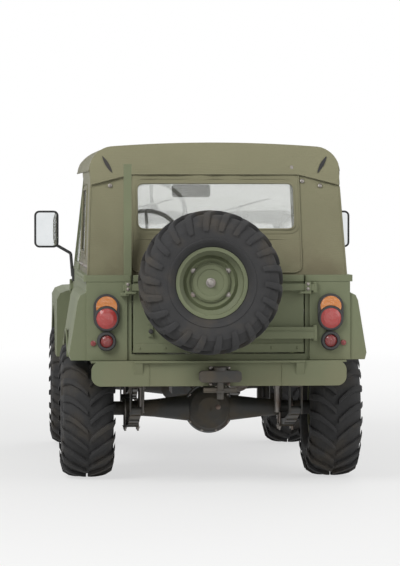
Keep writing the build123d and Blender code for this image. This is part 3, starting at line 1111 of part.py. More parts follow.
# Rear door with its own length of capping, a turned lower lip and a latch
LATCH_INSET = 101
LATCH_Z = 915
DOOR_LIP = 52
with BuildPart() as rear_door:
    block(-REAR_DOOR_HALF, REAR_DOOR_HALF, REAR_Y - 8, REAR_Y + 30, *REAR_DOOR_Z)
    block(-REAR_DOOR_HALF, REAR_DOOR_HALF, REAR_Y - 14, REAR_Y - 7, REAR_DOOR_Z[0], REAR_DOOR_Z[0] + DOOR_LIP)
    block(-REAR_DOOR_HALF + 40, REAR_DOOR_HALF - 40, REAR_Y + 8, REAR_Y + 31, REAR_DOOR_Z[0] + 40, BELT_Z - 40, Mode.SUBTRACT)
    block(-REAR_DOOR_HALF, REAR_DOOR_HALF, REAR_Y - 16, REAR_Y + 48, BELT_Z, RAIL_TOP)
    latch_x = LATCH_INSET - REAR_DOOR_HALF
    for level in (LATCH_Z - 17, LATCH_Z + 17):
        block(latch_x - 15, latch_x + 15, REAR_Y - 20, REAR_Y - 7, level - 15, level + 15)
save(rear_door, "rear_door")

# Spare wheel on its carrier, hinged beside the rear door and bolted to it
SPARE_X = -66
SPARE_Z = 1203
SPARE_Y = REAR_Y - SPARE_STANDOFF - TYRE_HALF
spare_plane = Plane(origin=(SPARE_X, SPARE_Y, SPARE_Z), x_dir=(0, 0, 1), z_dir=(0, -1, 0))
save_tyre("spare_tyre", spare_plane)
make_rim("spare_rim", spare_plane, False)

BAR_Y = (REAR_Y - 46, REAR_Y - 22)
CLAMP_R = 112
with BuildPart() as carrier:
    block(-REAR_DOOR_HALF - 62, CARRIER_HINGE[0] - 4, *BAR_Y, *CARRIER_BARS[1])
    block(SPARE_X - 60, CARRIER_HINGE[0] - 4, *BAR_Y, *CARRIER_BARS[0])
    block(SPARE_X - 120, SPARE_X + 120, BAR_Y[0], REAR_Y - 8 - SEAT, CARRIER_BARS[0][0], CARRIER_BARS[1][1])
    for low, high in CARRIER_BARS:
        foot, head = (*CARRIER_HINGE, low), (*CARRIER_HINGE, high)
        rod(foot, head, CARRIER_BARREL_R)
        rod(foot, head, CARRIER_PIN_R + RUNNING_FIT, Mode.SUBTRACT)
    centre = [(SPARE_X, place, SPARE_Z) for place in (BAR_Y[0] + 1, SPARE_Y - 4 + SEAT, SPARE_Y - 14 - SEAT)]
    rod(centre[0], centre[1], CLAMP_R - 4)
    rod(centre[1], centre[2], HUB_R - 16)
    rod(centre[2], (SPARE_X, SPARE_Y - 26, SPARE_Z), CLAMP_R)
save(carrier, "spare_carrier")

# Tail lamps: a tall housing with a round lamp in it and a smaller lamp below, on each side
TAIL_Z = 990
TAIL_R = 75
TAIL_X = CARRIER_HINGE[0] + CARRIER_BARREL_R + TAIL_R + 4
TAIL_RISE = 68
LOW_TAIL_Z = 858
LOW_TAIL_R = 56
TAIL_Y = REAR_Y - SKIN - SEAT
TAIL_DEPTH = 24


def tail_plane(side, height, forward=0):
    """The plane on the rear panel where a lamp stands, its z axis pointing to the rear."""
    return Plane(origin=(side * TAIL_X, TAIL_Y - forward, height), x_dir=(0, 0, 1), z_dir=(0, -1, 0))


with BuildPart() as tail_rims:
    for side in (-1, 1):
        with BuildSketch(tail_plane(side, TAIL_Z + TAIL_RISE / 2)):
            SlotCenterToCenter(TAIL_RISE, 2 * TAIL_R)
        extrude(amount=TAIL_DEPTH)
        ring(tail_plane(side, TAIL_Z, TAIL_DEPTH), [(60, -1), (72, -1), (72, 8), (68, 12), (60, 12)])
        ring(tail_plane(side, LOW_TAIL_Z), [(0, 0), (LOW_TAIL_R, 0), (LOW_TAIL_R, 28), (LOW_TAIL_R - 6, 36),
                                            (40, 36), (36, 20), (0, 20)])
save(tail_rims, "tail_lamp_rims")

with BuildPart() as tail_lenses:
    for side in (-1, 1):
        ring(tail_plane(side, TAIL_Z, TAIL_DEPTH + SEAT), [(0, 0), (60 - SEAT, 0), (60 - SEAT, 10), (40, 18), (0, 22)])
        ring(tail_plane(side, LOW_TAIL_Z, 20 + SEAT), [(0, 0), (36 - SEAT, 0), (36 - SEAT, 6), (22, 13), (0, 16)])
        with BuildSketch(tail_plane(side, TAIL_Z, TAIL_DEPTH + SEAT)):
            with Locations((TAIL_RISE, 0)):
                Circle(TAIL_R - 14)
            Circle(74, mode=Mode.SUBTRACT)
        extrude(amount=6)
        reflector = Plane(origin=(side * 730, TAIL_Y, 846), x_dir=(0, 0, 1), z_dir=(0, -1, 0))
        ring(reflector, [(0, 0), (16, 0), (16, 8), (0, 12)])
save(tail_lenses, "tail_lamp_lenses")
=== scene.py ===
"""Looks for an army 4x4 car: mud tyres, canvas, seats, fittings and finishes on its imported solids.

Metres. +Y is forward, +X is the car's right side, +Z is up, and the floor is at zero.
"""

import json
import math

import bpy
from mathutils import Matrix, Vector, noise


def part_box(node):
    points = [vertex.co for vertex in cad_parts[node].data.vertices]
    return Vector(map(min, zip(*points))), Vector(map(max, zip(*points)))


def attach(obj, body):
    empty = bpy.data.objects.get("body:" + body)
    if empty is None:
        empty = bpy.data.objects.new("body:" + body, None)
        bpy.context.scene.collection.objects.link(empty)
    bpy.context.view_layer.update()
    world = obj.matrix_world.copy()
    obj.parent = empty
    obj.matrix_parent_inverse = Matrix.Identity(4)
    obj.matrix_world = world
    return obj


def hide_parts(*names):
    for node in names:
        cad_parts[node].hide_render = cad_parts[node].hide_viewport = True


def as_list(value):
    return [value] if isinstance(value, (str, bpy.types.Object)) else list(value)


bl_info = {
    "name": "Army Car Dress",
    "version": (1, 0, 0),
    "blender": (4, 5, 0),
    "location": "View3D > Sidebar > Car",
    "description": "Dresses the packed army car with tyres, canvas, seats, fittings and finishes",
    "category": "Object",
}

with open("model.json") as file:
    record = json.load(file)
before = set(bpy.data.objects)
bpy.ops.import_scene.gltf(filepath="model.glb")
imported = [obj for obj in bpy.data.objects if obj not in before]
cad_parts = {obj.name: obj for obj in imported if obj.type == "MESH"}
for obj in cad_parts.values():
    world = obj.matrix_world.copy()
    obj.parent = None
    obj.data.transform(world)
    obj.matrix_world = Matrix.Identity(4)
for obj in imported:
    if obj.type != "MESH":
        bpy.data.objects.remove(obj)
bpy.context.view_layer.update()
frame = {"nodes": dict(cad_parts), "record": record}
NODES = frame["nodes"]
SEED = 7

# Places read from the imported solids
TYRE_LOW, TYRE_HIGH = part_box("tyre_rear_right")
TYRE_R = (TYRE_HIGH.z - TYRE_LOW.z) / 2
TYRE_HALF = (TYRE_HIGH.x - TYRE_LOW.x) / 2
RIM_LOW, RIM_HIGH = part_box("rim_rear_right")
RIM_R = (RIM_HIGH.z - RIM_LOW.z) / 2
CAPPING_LOW, CAPPING_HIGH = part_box("body_capping")
REAR_DOOR_LOW, REAR_DOOR_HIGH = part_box("rear_door")
CANVAS_LOW, CANVAS_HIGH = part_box("canvas_top")
BELT = REAR_DOOR_HIGH.z
WHEELS = ("front_left", "front_right", "rear_left", "rear_right")


class CarColours(bpy.types.PropertyGroup):
    """Colours of the finishes."""

    paint: bpy.props.FloatVectorProperty(
        name="Paint", description="Matt body paint", subtype="COLOR", size=3, default=(0.17, 0.19, 0.11))
    canvas: bpy.props.FloatVectorProperty(
        name="Canvas", description="Proofed cloth of the top", subtype="COLOR", size=3,
        default=(0.235, 0.225, 0.14))
    # The rubber colour also paints the fold shadows on the canvas
    rubber: bpy.props.FloatVectorProperty(
        name="Rubber", description="Tyres and seals", subtype="COLOR", size=3,
        default=(0.035, 0.035, 0.036))
    seat: bpy.props.FloatVectorProperty(
        name="Seat cover", description="Leathercloth of the seats", subtype="COLOR", size=3,
        default=(0.1, 0.105, 0.075))
    dust: bpy.props.FloatVectorProperty(
        name="Dust", description="Dry mud on the lower parts", subtype="COLOR", size=3,
        default=(0.23, 0.18, 0.115))
    black: bpy.props.FloatVectorProperty(
        name="Chassis black", description="Paint of the frame and axles", subtype="COLOR", size=3,
        default=(0.04, 0.04, 0.038))
    lens: bpy.props.FloatVectorProperty(
        name="Red lens", description="Stop and tail lenses", subtype="COLOR", size=3,
        default=(0.42, 0.03, 0.025))
    amber: bpy.props.FloatVectorProperty(
        name="Amber lens", description="Turn lenses", subtype="COLOR", size=3, default=(0.62, 0.19, 0.012))
    floor: bpy.props.FloatVectorProperty(
        name="Floor", description="Pale studio floor", subtype="COLOR", size=3, default=(0.74, 0.74, 0.73))


class CarSizes(bpy.types.PropertyGroup):
    """Sizes of the dressed pieces."""

    lugs: bpy.props.IntProperty(
        name="Lugs", description="Lugs on each half of a tyre", default=22, min=12, max=40)
    lug_depth: bpy.props.FloatProperty(
        name="Lug depth", description="Height of a lug above the tread", default=0.022, unit="LENGTH")
    cloth: bpy.props.FloatProperty(
        name="Cloth", description="Thickness of the canvas", default=0.004, unit="LENGTH")
    sag: bpy.props.FloatProperty(
        name="Sag", description="Hollow of the canvas between its bows", default=0.012, unit="LENGTH")
    edge: bpy.props.FloatProperty(
        name="Edge", description="Radius that softens pressed and cast edges", default=0.004, unit="LENGTH")


class Value:
    """A socket in a node tree. Arithmetic on it adds Math nodes."""

    def __init__(self, tree, socket):
        self.tree = tree
        self.socket = socket

    def math(self, operation, first, second):
        """A Math node on two values."""
        node = self.tree.nodes.new("ShaderNodeMath")
        node.operation = operation
        for slot, value in zip(node.inputs, (first, second)):
            feed(self.tree, slot, value)
        return Value(self.tree, node.outputs[0])

    def __add__(self, other):
        return self.math("ADD", self, other)

    __radd__ = __add__

    def __sub__(self, other):
        return self.math("SUBTRACT", self, other)

    def __rsub__(self, other):
        return self.math("SUBTRACT", other, self)

    def __mul__(self, other):
        return self.math("MULTIPLY", self, other)

    __rmul__ = __mul__

    def __gt__(self, other):
        return self.math("GREATER_THAN", self, other)

    def __lt__(self, other):
        return self.math("LESS_THAN", self, other)

    def __abs__(self):
        return self.math("ABSOLUTE", self, 0.0)

    def low(self, other):
        """The smaller of two values."""
        return self.math("MINIMUM", self, other)

    def high(self, other):
        """The larger of two values."""
        return self.math("MAXIMUM", self, other)


def feed(tree, slot, value):
    """Links a wrapped socket to an input, or sets a plain value on it."""
    if isinstance(value, Value):
        tree.links.new(value.socket, slot)
    elif hasattr(slot.default_value, "__len__") and len(slot.default_value) == 4 and len(value) == 3:
        slot.default_value = (*value, 1.0)
    else:
        slot.default_value = value


class Finish:
    """A material that is being made: one shader and the nodes that feed it."""

    def __init__(self, name):
        self.material = bpy.data.materials.new(name)
        self.material.use_nodes = True
        self.tree = self.material.node_tree
        self.shader = self.tree.nodes["Principled BSDF"]
        self.place = self.node("ShaderNodeTexCoord", out="Object")
        self.x, self.z = (self.node("ShaderNodeSeparateXYZ", Vector=self.place, out=axis) for axis in "XZ")

    def node(self, kind, settings=None, out=0, **sockets):
        """Adds a node: its settings first, then its sockets. Gives one of its outputs."""
        node = self.tree.nodes.new(kind)
        for key, value in (settings or {}).items():
            setattr(node, key, value)
        for key, value in sockets.items():
            feed(self.tree, node.inputs[key.replace("_", " ")], value)
        return Value(self.tree, node.outputs[out])

    def noise(self, scale, detail=3.0):
        """Clouds or grain, finer with a larger scale."""
        return self.node("ShaderNodeTexNoise", Vector=self.place, Scale=scale, Detail=detail, out="Fac")

    def waves(self, axis, scale):
        """Even ridges that follow each other along an axis."""
        settings = {"bands_direction": axis}
        return self.node("ShaderNodeTexWave", settings, Vector=self.place, Scale=scale, out="Fac")

    def steps(self, value, low, high):
        """A smooth step from 0 to 1 between two values."""
        settings = {"interpolation_type": "SMOOTHSTEP"}
        return self.node("ShaderNodeMapRange", settings, Value=value, From_Min=low, From_Max=high,
                         out="Result")

    def mix(self, share, first, second):
        """A colour between two colours."""
        node = self.tree.nodes.new("ShaderNodeMix")
        node.data_type = "RGBA"
        colour_inputs = [slot for slot in node.inputs if slot.type == "RGBA"]
        feed(self.tree, node.inputs[0], share)
        feed(self.tree, colour_inputs[0], first)
        feed(self.tree, colour_inputs[1], second)
        return Value(self.tree, next(slot for slot in node.outputs if slot.type == "RGBA"))

    def set(self, **sockets):
        """Sets or links inputs of the shader, and gives the material."""
        for key, value in sockets.items():
            feed(self.tree, self.shader.inputs[key.replace("_", " ")], value)
        return self.material


# Places and sizes of the lamps, and the heights that part the tail lamp lenses
TAIL_X, TAIL_Z, TAIL_R = 0.653, 0.99, 0.066
TAIL_SPLIT_HIGH = 1.0
TAIL_SPLIT_LOW = 0.915
LAMP_X, LAMP_Z, LAMP_R = 0.672, 0.925, 0.09
MARKER_X, MARKER_Z, MARKER_R = 0.796, 1.02, 0.031

# Scales of woven and fluted patterns, and colours that are the same on every car
WEAVE = 95.0
LENS_FLUTES = 42.0
LAMP_FLUTES = 22.0
REFLECTOR = (0.56, 0.58, 0.58)
EDGE_RUST = (0.12, 0.05, 0.022)
PATCH_RUST = (0.17, 0.07, 0.03)


def tone(colour, factor):
    """A colour made darker or lighter by a factor."""
    return tuple(min(channel * factor, 1.0) for channel in colour)


def soft_edge(finish, radius):
    """The normal of rounded edges, and a mask that is 1 along them."""
    softened = finish.node("ShaderNodeBevel", {"samples": 4}, Radius=radius, out="Normal")
    flat = finish.node("ShaderNodeNewGeometry", out="Normal")
    turn = finish.node("ShaderNodeVectorMath", {"operation": "DOT_PRODUCT"}, out="Value")
    for slot, normal in zip(turn.socket.node.inputs, (softened, flat)):
        feed(finish.tree, slot, normal)
    return softened, finish.steps(1.0 - turn, 0.02, 0.22)


def bump(finish, height, distance, strength=1.0, normal=None):
    """A bump from a height, on top of a normal if one is given."""
    sockets = {"Height": height, "Distance": distance, "Strength": strength}
    if normal is not None:
        sockets["Normal"] = normal
    return finish.node("ShaderNodeBump", out="Normal", **sockets)


def painted(name, colour, dust, edge, worn, rough=0.62):
    """Matt sprayed paint: uneven tone, dust low down, and worn bright edges."""
    finish = Finish(name)
    softened, along_edge = soft_edge(finish, edge)
    cloud = finish.noise(2.2, 4.0)
    speck = finish.noise(46.0, 3.0)
    low_down = 1.0 - finish.steps(finish.z, 0.35, 1.05)
    settled = low_down * finish.steps(cloud, 0.3, 0.72) * 0.5
    dusty = (settled + finish.steps(speck, 0.6, 0.85) * 0.07).low(0.6)
    scuffed = along_edge * finish.steps(finish.noise(30.0, 4.0), 0.42, 0.66) * worn
    shade = finish.mix(cloud, tone(colour, 0.82), tone(colour, 1.2))
    shade = finish.mix(dusty, shade, dust)
    shade = finish.mix(scuffed, shade, tone(colour, 2.3))
    orange_peel = finish.noise(240.0, 2.0)
    normal = bump(finish, orange_peel + speck * 0.6, 0.0006, 0.35, softened)
    return finish.set(Base_Color=shade, Roughness=rough + dusty * 0.3 - scuffed * 0.18 + speck * 0.06,
                      Specular_IOR_Level=0.42, Normal=normal)


def rubber_finish(colours):
    """Dull rubber, greyed by dust in its hollows and finely rough."""
    finish = Finish("tyre_rubber")
    cloud = finish.noise(5.0, 4.0)
    grain = finish.noise(170.0, 3.0)
    dusty = finish.steps(cloud, 0.46, 0.74) * 0.3 + finish.steps(grain, 0.55, 0.8) * 0.12
    shade = finish.mix(cloud, tone(colours.rubber, 0.75), tone(colours.rubber, 1.5))
    shade = finish.mix(dusty, shade, tone(colours.dust, 0.62))
    return finish.set(Base_Color=shade, Roughness=0.78 + dusty * 0.3, Specular_IOR_Level=0.32,
                      Normal=bump(finish, grain, 0.0012, 0.5))


def canvas_finish(colours):
    """Proofed cotton duck: a fine weave, creases, faded high places and grime near its foot."""
    finish = Finish("canvas_cloth")
    weave = finish.waves("Y", WEAVE) + finish.waves("Z", WEAVE) + finish.waves("X", WEAVE)
    crease = finish.noise(4.2, 5.0)
    fade = finish.noise(1.5, 3.0)
    fleck = finish.noise(320.0, 2.0)
    high_up = finish.steps(finish.z, 1.55, 2.02)
    grime = (1.0 - finish.steps(finish.z, BELT, BELT + 0.3)) * finish.steps(crease, 0.36, 0.62) * 0.5
    bleached = fade * 0.65 + high_up * 0.35
    shade = finish.mix(bleached, tone(colours.canvas, 0.8), tone(colours.canvas, 1.24))
    shade = finish.mix(finish.steps(fleck, 0.5, 0.75) * 0.25, shade, tone(colours.canvas, 0.6))
    shade = finish.mix(grime, shade, tone(colours.dust, 0.55))
    relief = bump(finish, weave * 0.12 + crease * 1.6, 0.006, 0.5)
    return finish.set(Base_Color=shade, Roughness=0.88 + fleck * 0.08, Sheen_Weight=0.25, Sheen_Roughness=0.5,
                      Specular_IOR_Level=0.2, Normal=relief)


def seat_finish(colours):
    """Leathercloth with a pebbled grain, its tone and roughness uneven in clouds."""
    finish = Finish("seat_cover")
    settings = {"feature": "SMOOTH_F1"}
    grain = finish.node("ShaderNodeTexVoronoi", settings, Vector=finish.place, Scale=300.0, out="Distance")
    cloud = finish.noise(6.0, 4.0)
    shade = finish.mix(cloud, tone(colours.seat, 0.75), tone(colours.seat, 1.35))
    return finish.set(Base_Color=shade, Roughness=0.5 + cloud * 0.2, Normal=bump(finish, grain, 0.0008, 0.6))


def glass_finish(name, tint, rough, wavy):
    """Clear glass, or a clear flexible sheet with ripples and haze."""
    finish = Finish(name)
    smear = finish.noise(9.0, 3.0)
    waviness = bump(finish, finish.noise(5.0, 2.0), wavy, 0.6)
    return finish.set(Base_Color=tint, Roughness=rough + finish.steps(smear, 0.5, 0.8) * 0.06, IOR=1.45,
                      Transmission_Weight=0.92, Alpha=0.45, Normal=waviness)


def black_finish(colours, edge):
    """Satin black paint on frame and axles, dusted with dry mud."""
    finish = Finish("chassis_black")
    softened, along_edge = soft_edge(finish, edge)
    cloud = finish.noise(7.0, 5.0)
    dusty = finish.steps(cloud, 0.38, 0.7) * 0.5
    rust = along_edge * finish.steps(finish.noise(38.0, 4.0), 0.45, 0.65) * 0.5
    shade = finish.mix(dusty, colours.black, tone(colours.dust, 0.6))
    shade = finish.mix(rust, shade, EDGE_RUST)
    relief = bump(finish, finish.noise(150.0, 3.0), 0.001, 0.4, softened)
    return finish.set(Base_Color=shade, Roughness=0.52 + dusty * 0.45, Normal=relief)


def metal_finish(name, colour, rough, rust_share, edge):
    """Bare or cast metal with rust in patches."""
    finish = Finish(name)
    softened = soft_edge(finish, edge)[0]
    patch = finish.steps(finish.noise(11.0, 6.0), 0.46, 0.68) * rust_share
    streak = finish.noise(90.0, 4.0)
    shade = finish.mix(streak, tone(colour, 0.7), tone(colour, 1.25))
    shade = finish.mix(patch, shade, PATCH_RUST)
    relief = bump(finish, streak, 0.0012, 0.5, softened)
    return finish.set(Base_Color=shade, Metallic=0.9 - patch * 0.9,
                      Roughness=rough + patch * 0.3 + streak * 0.1, Normal=relief)


def plastic_finish(colour, rough):
    """Moulded black plastic with a fine stipple."""
    finish = Finish("black_mould")
    softened, along_edge = soft_edge(finish, 0.003)
    stipple = finish.noise(400.0, 2.0)
    cloud = finish.noise(8.0, 3.0)
    shade = finish.mix(cloud * 0.6 + along_edge * 0.4, tone(colour, 0.8), tone(colour, 1.8))
    relief = bump(finish, stipple, 0.0005, 0.4, softened)
    return finish.set(Base_Color=shade, Roughness=rough + cloud * 0.12, Normal=relief)


def away_from(finish, across, height):
    """How far a point is from the axis of a lamp that stands on both sides of the car."""
    aside = abs(finish.x) - across
    over = finish.z - height
    return finish.node("ShaderNodeMath", {"operation": "SQRT"}, Value=aside * aside + over * over)


def lens_finish(colours):
    """Moulded lenses with crossed flutes: red, amber above and darker red below."""
    finish = Finish("lens_plastic")
    upper = (away_from(finish, TAIL_X, TAIL_Z) > TAIL_R) * (finish.z > TAIL_SPLIT_HIGH)
    lower = finish.z < TAIL_SPLIT_LOW
    shade = finish.mix(upper, colours.lens, colours.amber)
    shade = finish.mix(lower, shade, tone(colours.lens, 0.55))
    relief = bump(finish, finish.waves("X", LENS_FLUTES) + finish.waves("Z", LENS_FLUTES), 0.0016, 0.7)
    return finish.set(Base_Color=shade, Roughness=0.12 + finish.noise(20.0) * 0.1, Coat_Weight=0.6,
                      Coat_Roughness=0.08, Normal=relief)


def headlamp_finish(colours):
    """Headlamps of fluted glass inside a painted rim, and amber marker lamps above them."""
    finish = Finish("headlamp")
    glass = 1.0 - finish.steps(away_from(finish, LAMP_X, LAMP_Z), LAMP_R - 0.004, LAMP_R)
    marker = 1.0 - finish.steps(away_from(finish, MARKER_X, MARKER_Z), MARKER_R - 0.002, MARKER_R)
    lit = glass.high(marker)
    shade = finish.mix(glass, colours.paint, REFLECTOR)
    shade = finish.mix(marker, shade, colours.amber)
    relief = bump(finish, finish.waves("X", LAMP_FLUTES) * lit, 0.004, 0.8)
    return finish.set(Base_Color=shade, Roughness=0.55 - lit * 0.43, Metallic=glass * 0.7,
                      Coat_Weight=lit * 0.9, Normal=relief)


def mirror_finish():
    """Silvered glass with a faint haze."""
    finish = Finish("mirror_silver")
    haze = finish.noise(14.0, 3.0)
    shade = finish.mix(haze, (0.72, 0.75, 0.76), (0.84, 0.86, 0.87))
    return finish.set(Base_Color=shade, Metallic=1.0, Roughness=0.04 + haze * 0.06)


FINISHES = {}


def make_finishes(colours, sizes):
    """Makes every material once and keeps it by the name of its record slot."""
    edge = sizes.edge
    FINISHES.update({
        "paint": painted("olive_paint", colours.paint, colours.dust, edge, 0.5),
        "rim_paint": painted("wheel_paint", tone(colours.paint, 0.95), colours.dust, edge, 0.6, 0.58),
        # The rubber finish also paints the fold shadows on the canvas
        "rubber": rubber_finish(colours),
        "canvas": canvas_finish(colours),
        "clear_vinyl": glass_finish("clear_sheet", (0.86, 0.86, 0.8), 0.03, 0.003),
        "glass": glass_finish("window_glass", (0.88, 0.93, 0.92), 0.03, 0.0004),
        "chassis_paint": black_finish(colours, edge),
        "cast_metal": metal_finish("cast_iron", (0.16, 0.165, 0.165), 0.62, 0.3, edge),
        "bare_steel": metal_finish("dull_steel", (0.3, 0.28, 0.26), 0.42, 0.5, edge),
        "black_plastic": plastic_finish((0.03, 0.03, 0.03), 0.5),
        "lamp_glass": headlamp_finish(colours),
        "lens_red": lens_finish(colours),
        "seat_cover": seat_finish(colours),
        "mirror": mirror_finish(),
    })


def wear(piece, finish):
    """Puts one finish on the whole of a piece."""
    piece.data.materials.clear()
    piece.data.materials.append(FINISHES[finish])


def deselect():
    """Leaves nothing selected, in object mode."""
    if bpy.context.mode != "OBJECT":
        bpy.ops.object.mode_set(mode="OBJECT")
    bpy.ops.object.select_all(action="DESELECT")


def alone(piece):
    """Selects one piece and makes it the active one."""
    deselect()
    piece.select_set(True)
    bpy.context.view_layer.objects.active = piece
    return piece


def settle(piece):
    """Moves a piece's place, turn and scale into its mesh."""
    alone(piece)
    bpy.ops.object.transform_apply(location=True, rotation=True, scale=True)
    return piece


def named(name):
    """Names the piece that an operator has just added."""
    piece = bpy.context.object
    piece.name = name
    piece.data.name = name
    return piece


def modify(piece, kind, **settings):
    """Adds a modifier, sets it and applies it."""
    alone(piece)
    modifier = piece.modifiers.new(kind.lower(), kind)
    for key, value in settings.items():
        setattr(modifier, key, value)
    bpy.ops.object.modifier_apply(modifier=modifier.name)
    return piece


def smooth(piece, angle=40.0):
    """Shades a piece smooth, apart from edges sharper than an angle in degrees."""
    alone(piece)
    bpy.ops.object.shade_smooth_by_angle(angle=math.radians(angle))
    return piece


def block(name, low, high, edge=0.003):
    """A box with rounded edges between two corners."""
    low, high = Vector(low), Vector(high)
    deselect()
    bpy.ops.mesh.primitive_cube_add(size=1.0, location=(low + high) / 2)
    piece = named(name)
    piece.scale = high - low
    settle(piece)
    if edge:
        modify(piece, "BEVEL", width=edge, segments=3, limit_method="ANGLE")
    return smooth(piece)


UPWARD, DOWNWARD, BACKWARD = (0, 0, 1), (0, 0, -1), (0, -1, 0)

# How far X is turned to point along an axis, in degrees, and about which axis
AXIS_TURNS = {"X": (0, "Z"), "Y": (90, "Z"), "-X": (180, "Z"), "-Y": (-90, "Z"), "Z": (-90, "Y")}


def turned(name, profile, centre=(0, 0, 0), axis="X", steps=48):
    """A lathe piece: profile is (distance along the axis, radius) points, spun about the axis."""
    deselect()
    bpy.ops.mesh.primitive_plane_add(size=0.01, location=(0, 0, 0))
    piece = named(name)
    bpy.ops.object.mode_set(mode="EDIT")
    bpy.ops.mesh.select_all(action="SELECT")
    bpy.ops.mesh.merge(type="CENTER")
    along, radius = profile[0]
    bpy.ops.transform.translate(value=(along, 0, radius))
    for (here, out), (next_here, next_out) in zip(profile, profile[1:]):
        step = (next_here - here, 0, next_out - out)
        bpy.ops.mesh.extrude_region_move(TRANSFORM_OT_translate={"value": step})
    bpy.ops.mesh.select_all(action="SELECT")
    bpy.ops.mesh.spin(steps=steps, angle=math.tau, center=(0, 0, 0), axis=(1, 0, 0))
    bpy.ops.mesh.select_all(action="SELECT")
    bpy.ops.mesh.remove_doubles(threshold=0.00005)
    bpy.ops.mesh.normals_make_consistent(inside=False)
    bpy.ops.object.mode_set(mode="OBJECT")
    degrees, about = AXIS_TURNS[axis]
    turn = Matrix.Rotation(math.radians(degrees), 4, about)
    piece.data.transform(Matrix.Translation(Vector(centre)) @ turn)
    return smooth(piece)


def hand(side):
    """The word for a side of the car: -1 is left and 1 is right."""
    return "left" if side < 0 else "right"


def hexagon(across, height):
    """A hexagon head that stands along Z, with a chamfered crown and a washer below it."""
    deselect()
    bpy.ops.mesh.primitive_cylinder_add(vertices=6, radius=across / math.sqrt(3), depth=height,
                                        location=(0, 0, height / 2))
    head = settle(named("head"))
    modify(head, "BEVEL", width=height * 0.16, segments=2, limit_method="ANGLE")
    rim, seat = across * 0.78, height * 0.3
    profile = [(0, 0), (0, rim), (height * 0.25, rim), (seat, across * 0.7), (seat, 0)]
    washer = turned("washer", profile, axis="Z", steps=20)
    return smooth(joined("head", [head, washer]))


def joined(name, pieces):
    """Joins pieces into the first of them."""
    alone(pieces[0])
    for piece in pieces[1:]:
        piece.select_set(True)
    if len(pieces) > 1:
        bpy.ops.object.join()
    return named(name)


def copied(piece, name, matrix):
    """A copy of a piece with its own mesh, moved by a matrix."""
    copy = piece.copy()
    copy.data = piece.data.copy()
    copy.name = name
    copy.data.name = name
    bpy.context.scene.collection.objects.link(copy)
    copy.data.transform(matrix)
    if matrix.determinant() < 0:
        copy.data.flip_normals()
    return copy


def repeated(name, piece, places, out=UPWARD):
    """Copies a piece that stands along Z to some places, turned to point outwards, and joins the copies."""
    turn = Vector(UPWARD).rotation_difference(Vector(out)).to_matrix().to_4x4()
    copies = [copied(piece, "copy", Matrix.Translation(Vector(place)) @ turn) for place in places]
    bpy.data.objects.remove(piece)
    return joined(name, copies)


def tube(name, points, radius):
    """A round bar along a line of points, made a mesh."""
    curve = bpy.data.curves.new(name, "CURVE")
    curve.dimensions = "3D"
    curve.bevel_depth = radius
    curve.bevel_resolution = 4
    curve.use_fill_caps = True
    spline = curve.splines.new("POLY")
    spline.points.add(len(points) - 1)
    for point, place in zip(spline.points, points):
        point.co = (*place, 1.0)
    piece = bpy.data.objects.new(name, curve)
    bpy.context.scene.collection.objects.link(piece)
    alone(piece)
    bpy.ops.object.convert(target="MESH")
    return smooth(named(name))


def dress(piece, body, slot, finish=None):
    """A finished piece gets its finish and the body that it rides on."""
    wear(piece, finish or slot)
    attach(piece, body)
    return piece


# Tyres
LUG_STEPS = 5
LUG_SWEEP = 0.2
LUG_THICK = 0.036
LUG_ROOT = 0.012
LUG_MIDDLE_GAP = 0.006
SHOULDER = 0.055
BEAD = 0.098

# A tyre's side: distance in from its widest place with drop below the tread, then with rise above the rim
UPPER_SIDE = ((0.022, 0.034), (0.012, 0.062), (0.009, 0.064), (0.008, 0.1))
LOWER_SIDE = ((0.014, 0.05), (0.01, 0.046), (0.012, 0.036), (0.03, 0.018))


def tyre_form(sizes):
    """One tyre about the X axis at the origin: a turned carcass and two rows of swept lugs."""
    tread_r = TYRE_R - sizes.lug_depth
    crown = TYRE_HALF - SHOULDER
    half = [(0.0, tread_r), (crown * 0.6, tread_r - 0.002), (crown, tread_r - 0.008)]
    half += [(TYRE_HALF - inset, tread_r - drop) for inset, drop in UPPER_SIDE]
    half += [(TYRE_HALF - inset, RIM_R + rise) for inset, rise in LOWER_SIDE]
    half += [(BEAD + 0.012, RIM_R + 0.004), (BEAD, RIM_R - 0.006)]
    profile = [(-x, r) for x, r in reversed(half[1:])] + half
    carcass = turned("carcass", profile, steps=96)
    lugs = [lug_form(side, tread_r) for side in (-1, 1)]
    pitch = math.tau / sizes.lugs
    row = []
    for index in range(sizes.lugs):
        for lug, offset in zip(lugs, (0.5, 0.0)):
            row.append(copied(lug, "lug_copy", Matrix.Rotation(pitch * (index + offset), 4, "X")))
    for lug in lugs:
        bpy.data.objects.remove(lug)
    return smooth(joined("tyre_form", [carcass] + row), 35.0)


def lug_form(side, tread_r):
    """A lug: one face drawn out from the tread's middle to its shoulder and down the sidewall."""
    deselect()
    low, high = tread_r - LUG_ROOT, TYRE_R - 0.0004
    bpy.ops.mesh.primitive_plane_add(size=1.0, location=(side * LUG_MIDDLE_GAP, 0, (low + high) / 2),
                                     rotation=(0, side * math.radians(90), 0))
    lug = named("lug")
    lug.scale = (high - low, LUG_THICK * 0.8, 1.0)
    settle(lug)
    bpy.ops.object.mode_set(mode="EDIT")
    bpy.ops.mesh.select_all(action="SELECT")
    reach = side * (TYRE_HALF - SHOULDER) / LUG_STEPS
    turn = LUG_SWEEP / LUG_STEPS
    for step in range(LUG_STEPS):
        draw_out(reach, -0.0012 * step, 1.06 if step < 3 else 1.02, turn * (1.25 - 0.12 * step))
    draw_out(side * (SHOULDER - 0.018), -0.022, 1.04, turn * 0.35)
    draw_out(side * 0.014, -0.052, 0.86, 0.0)
    bpy.ops.mesh.select_all(action="SELECT")
    bpy.ops.mesh.normals_make_consistent(inside=False)
    bpy.ops.object.mode_set(mode="OBJECT")
    return modify(lug, "BEVEL", width=0.0035, segments=2, limit_method="ANGLE")


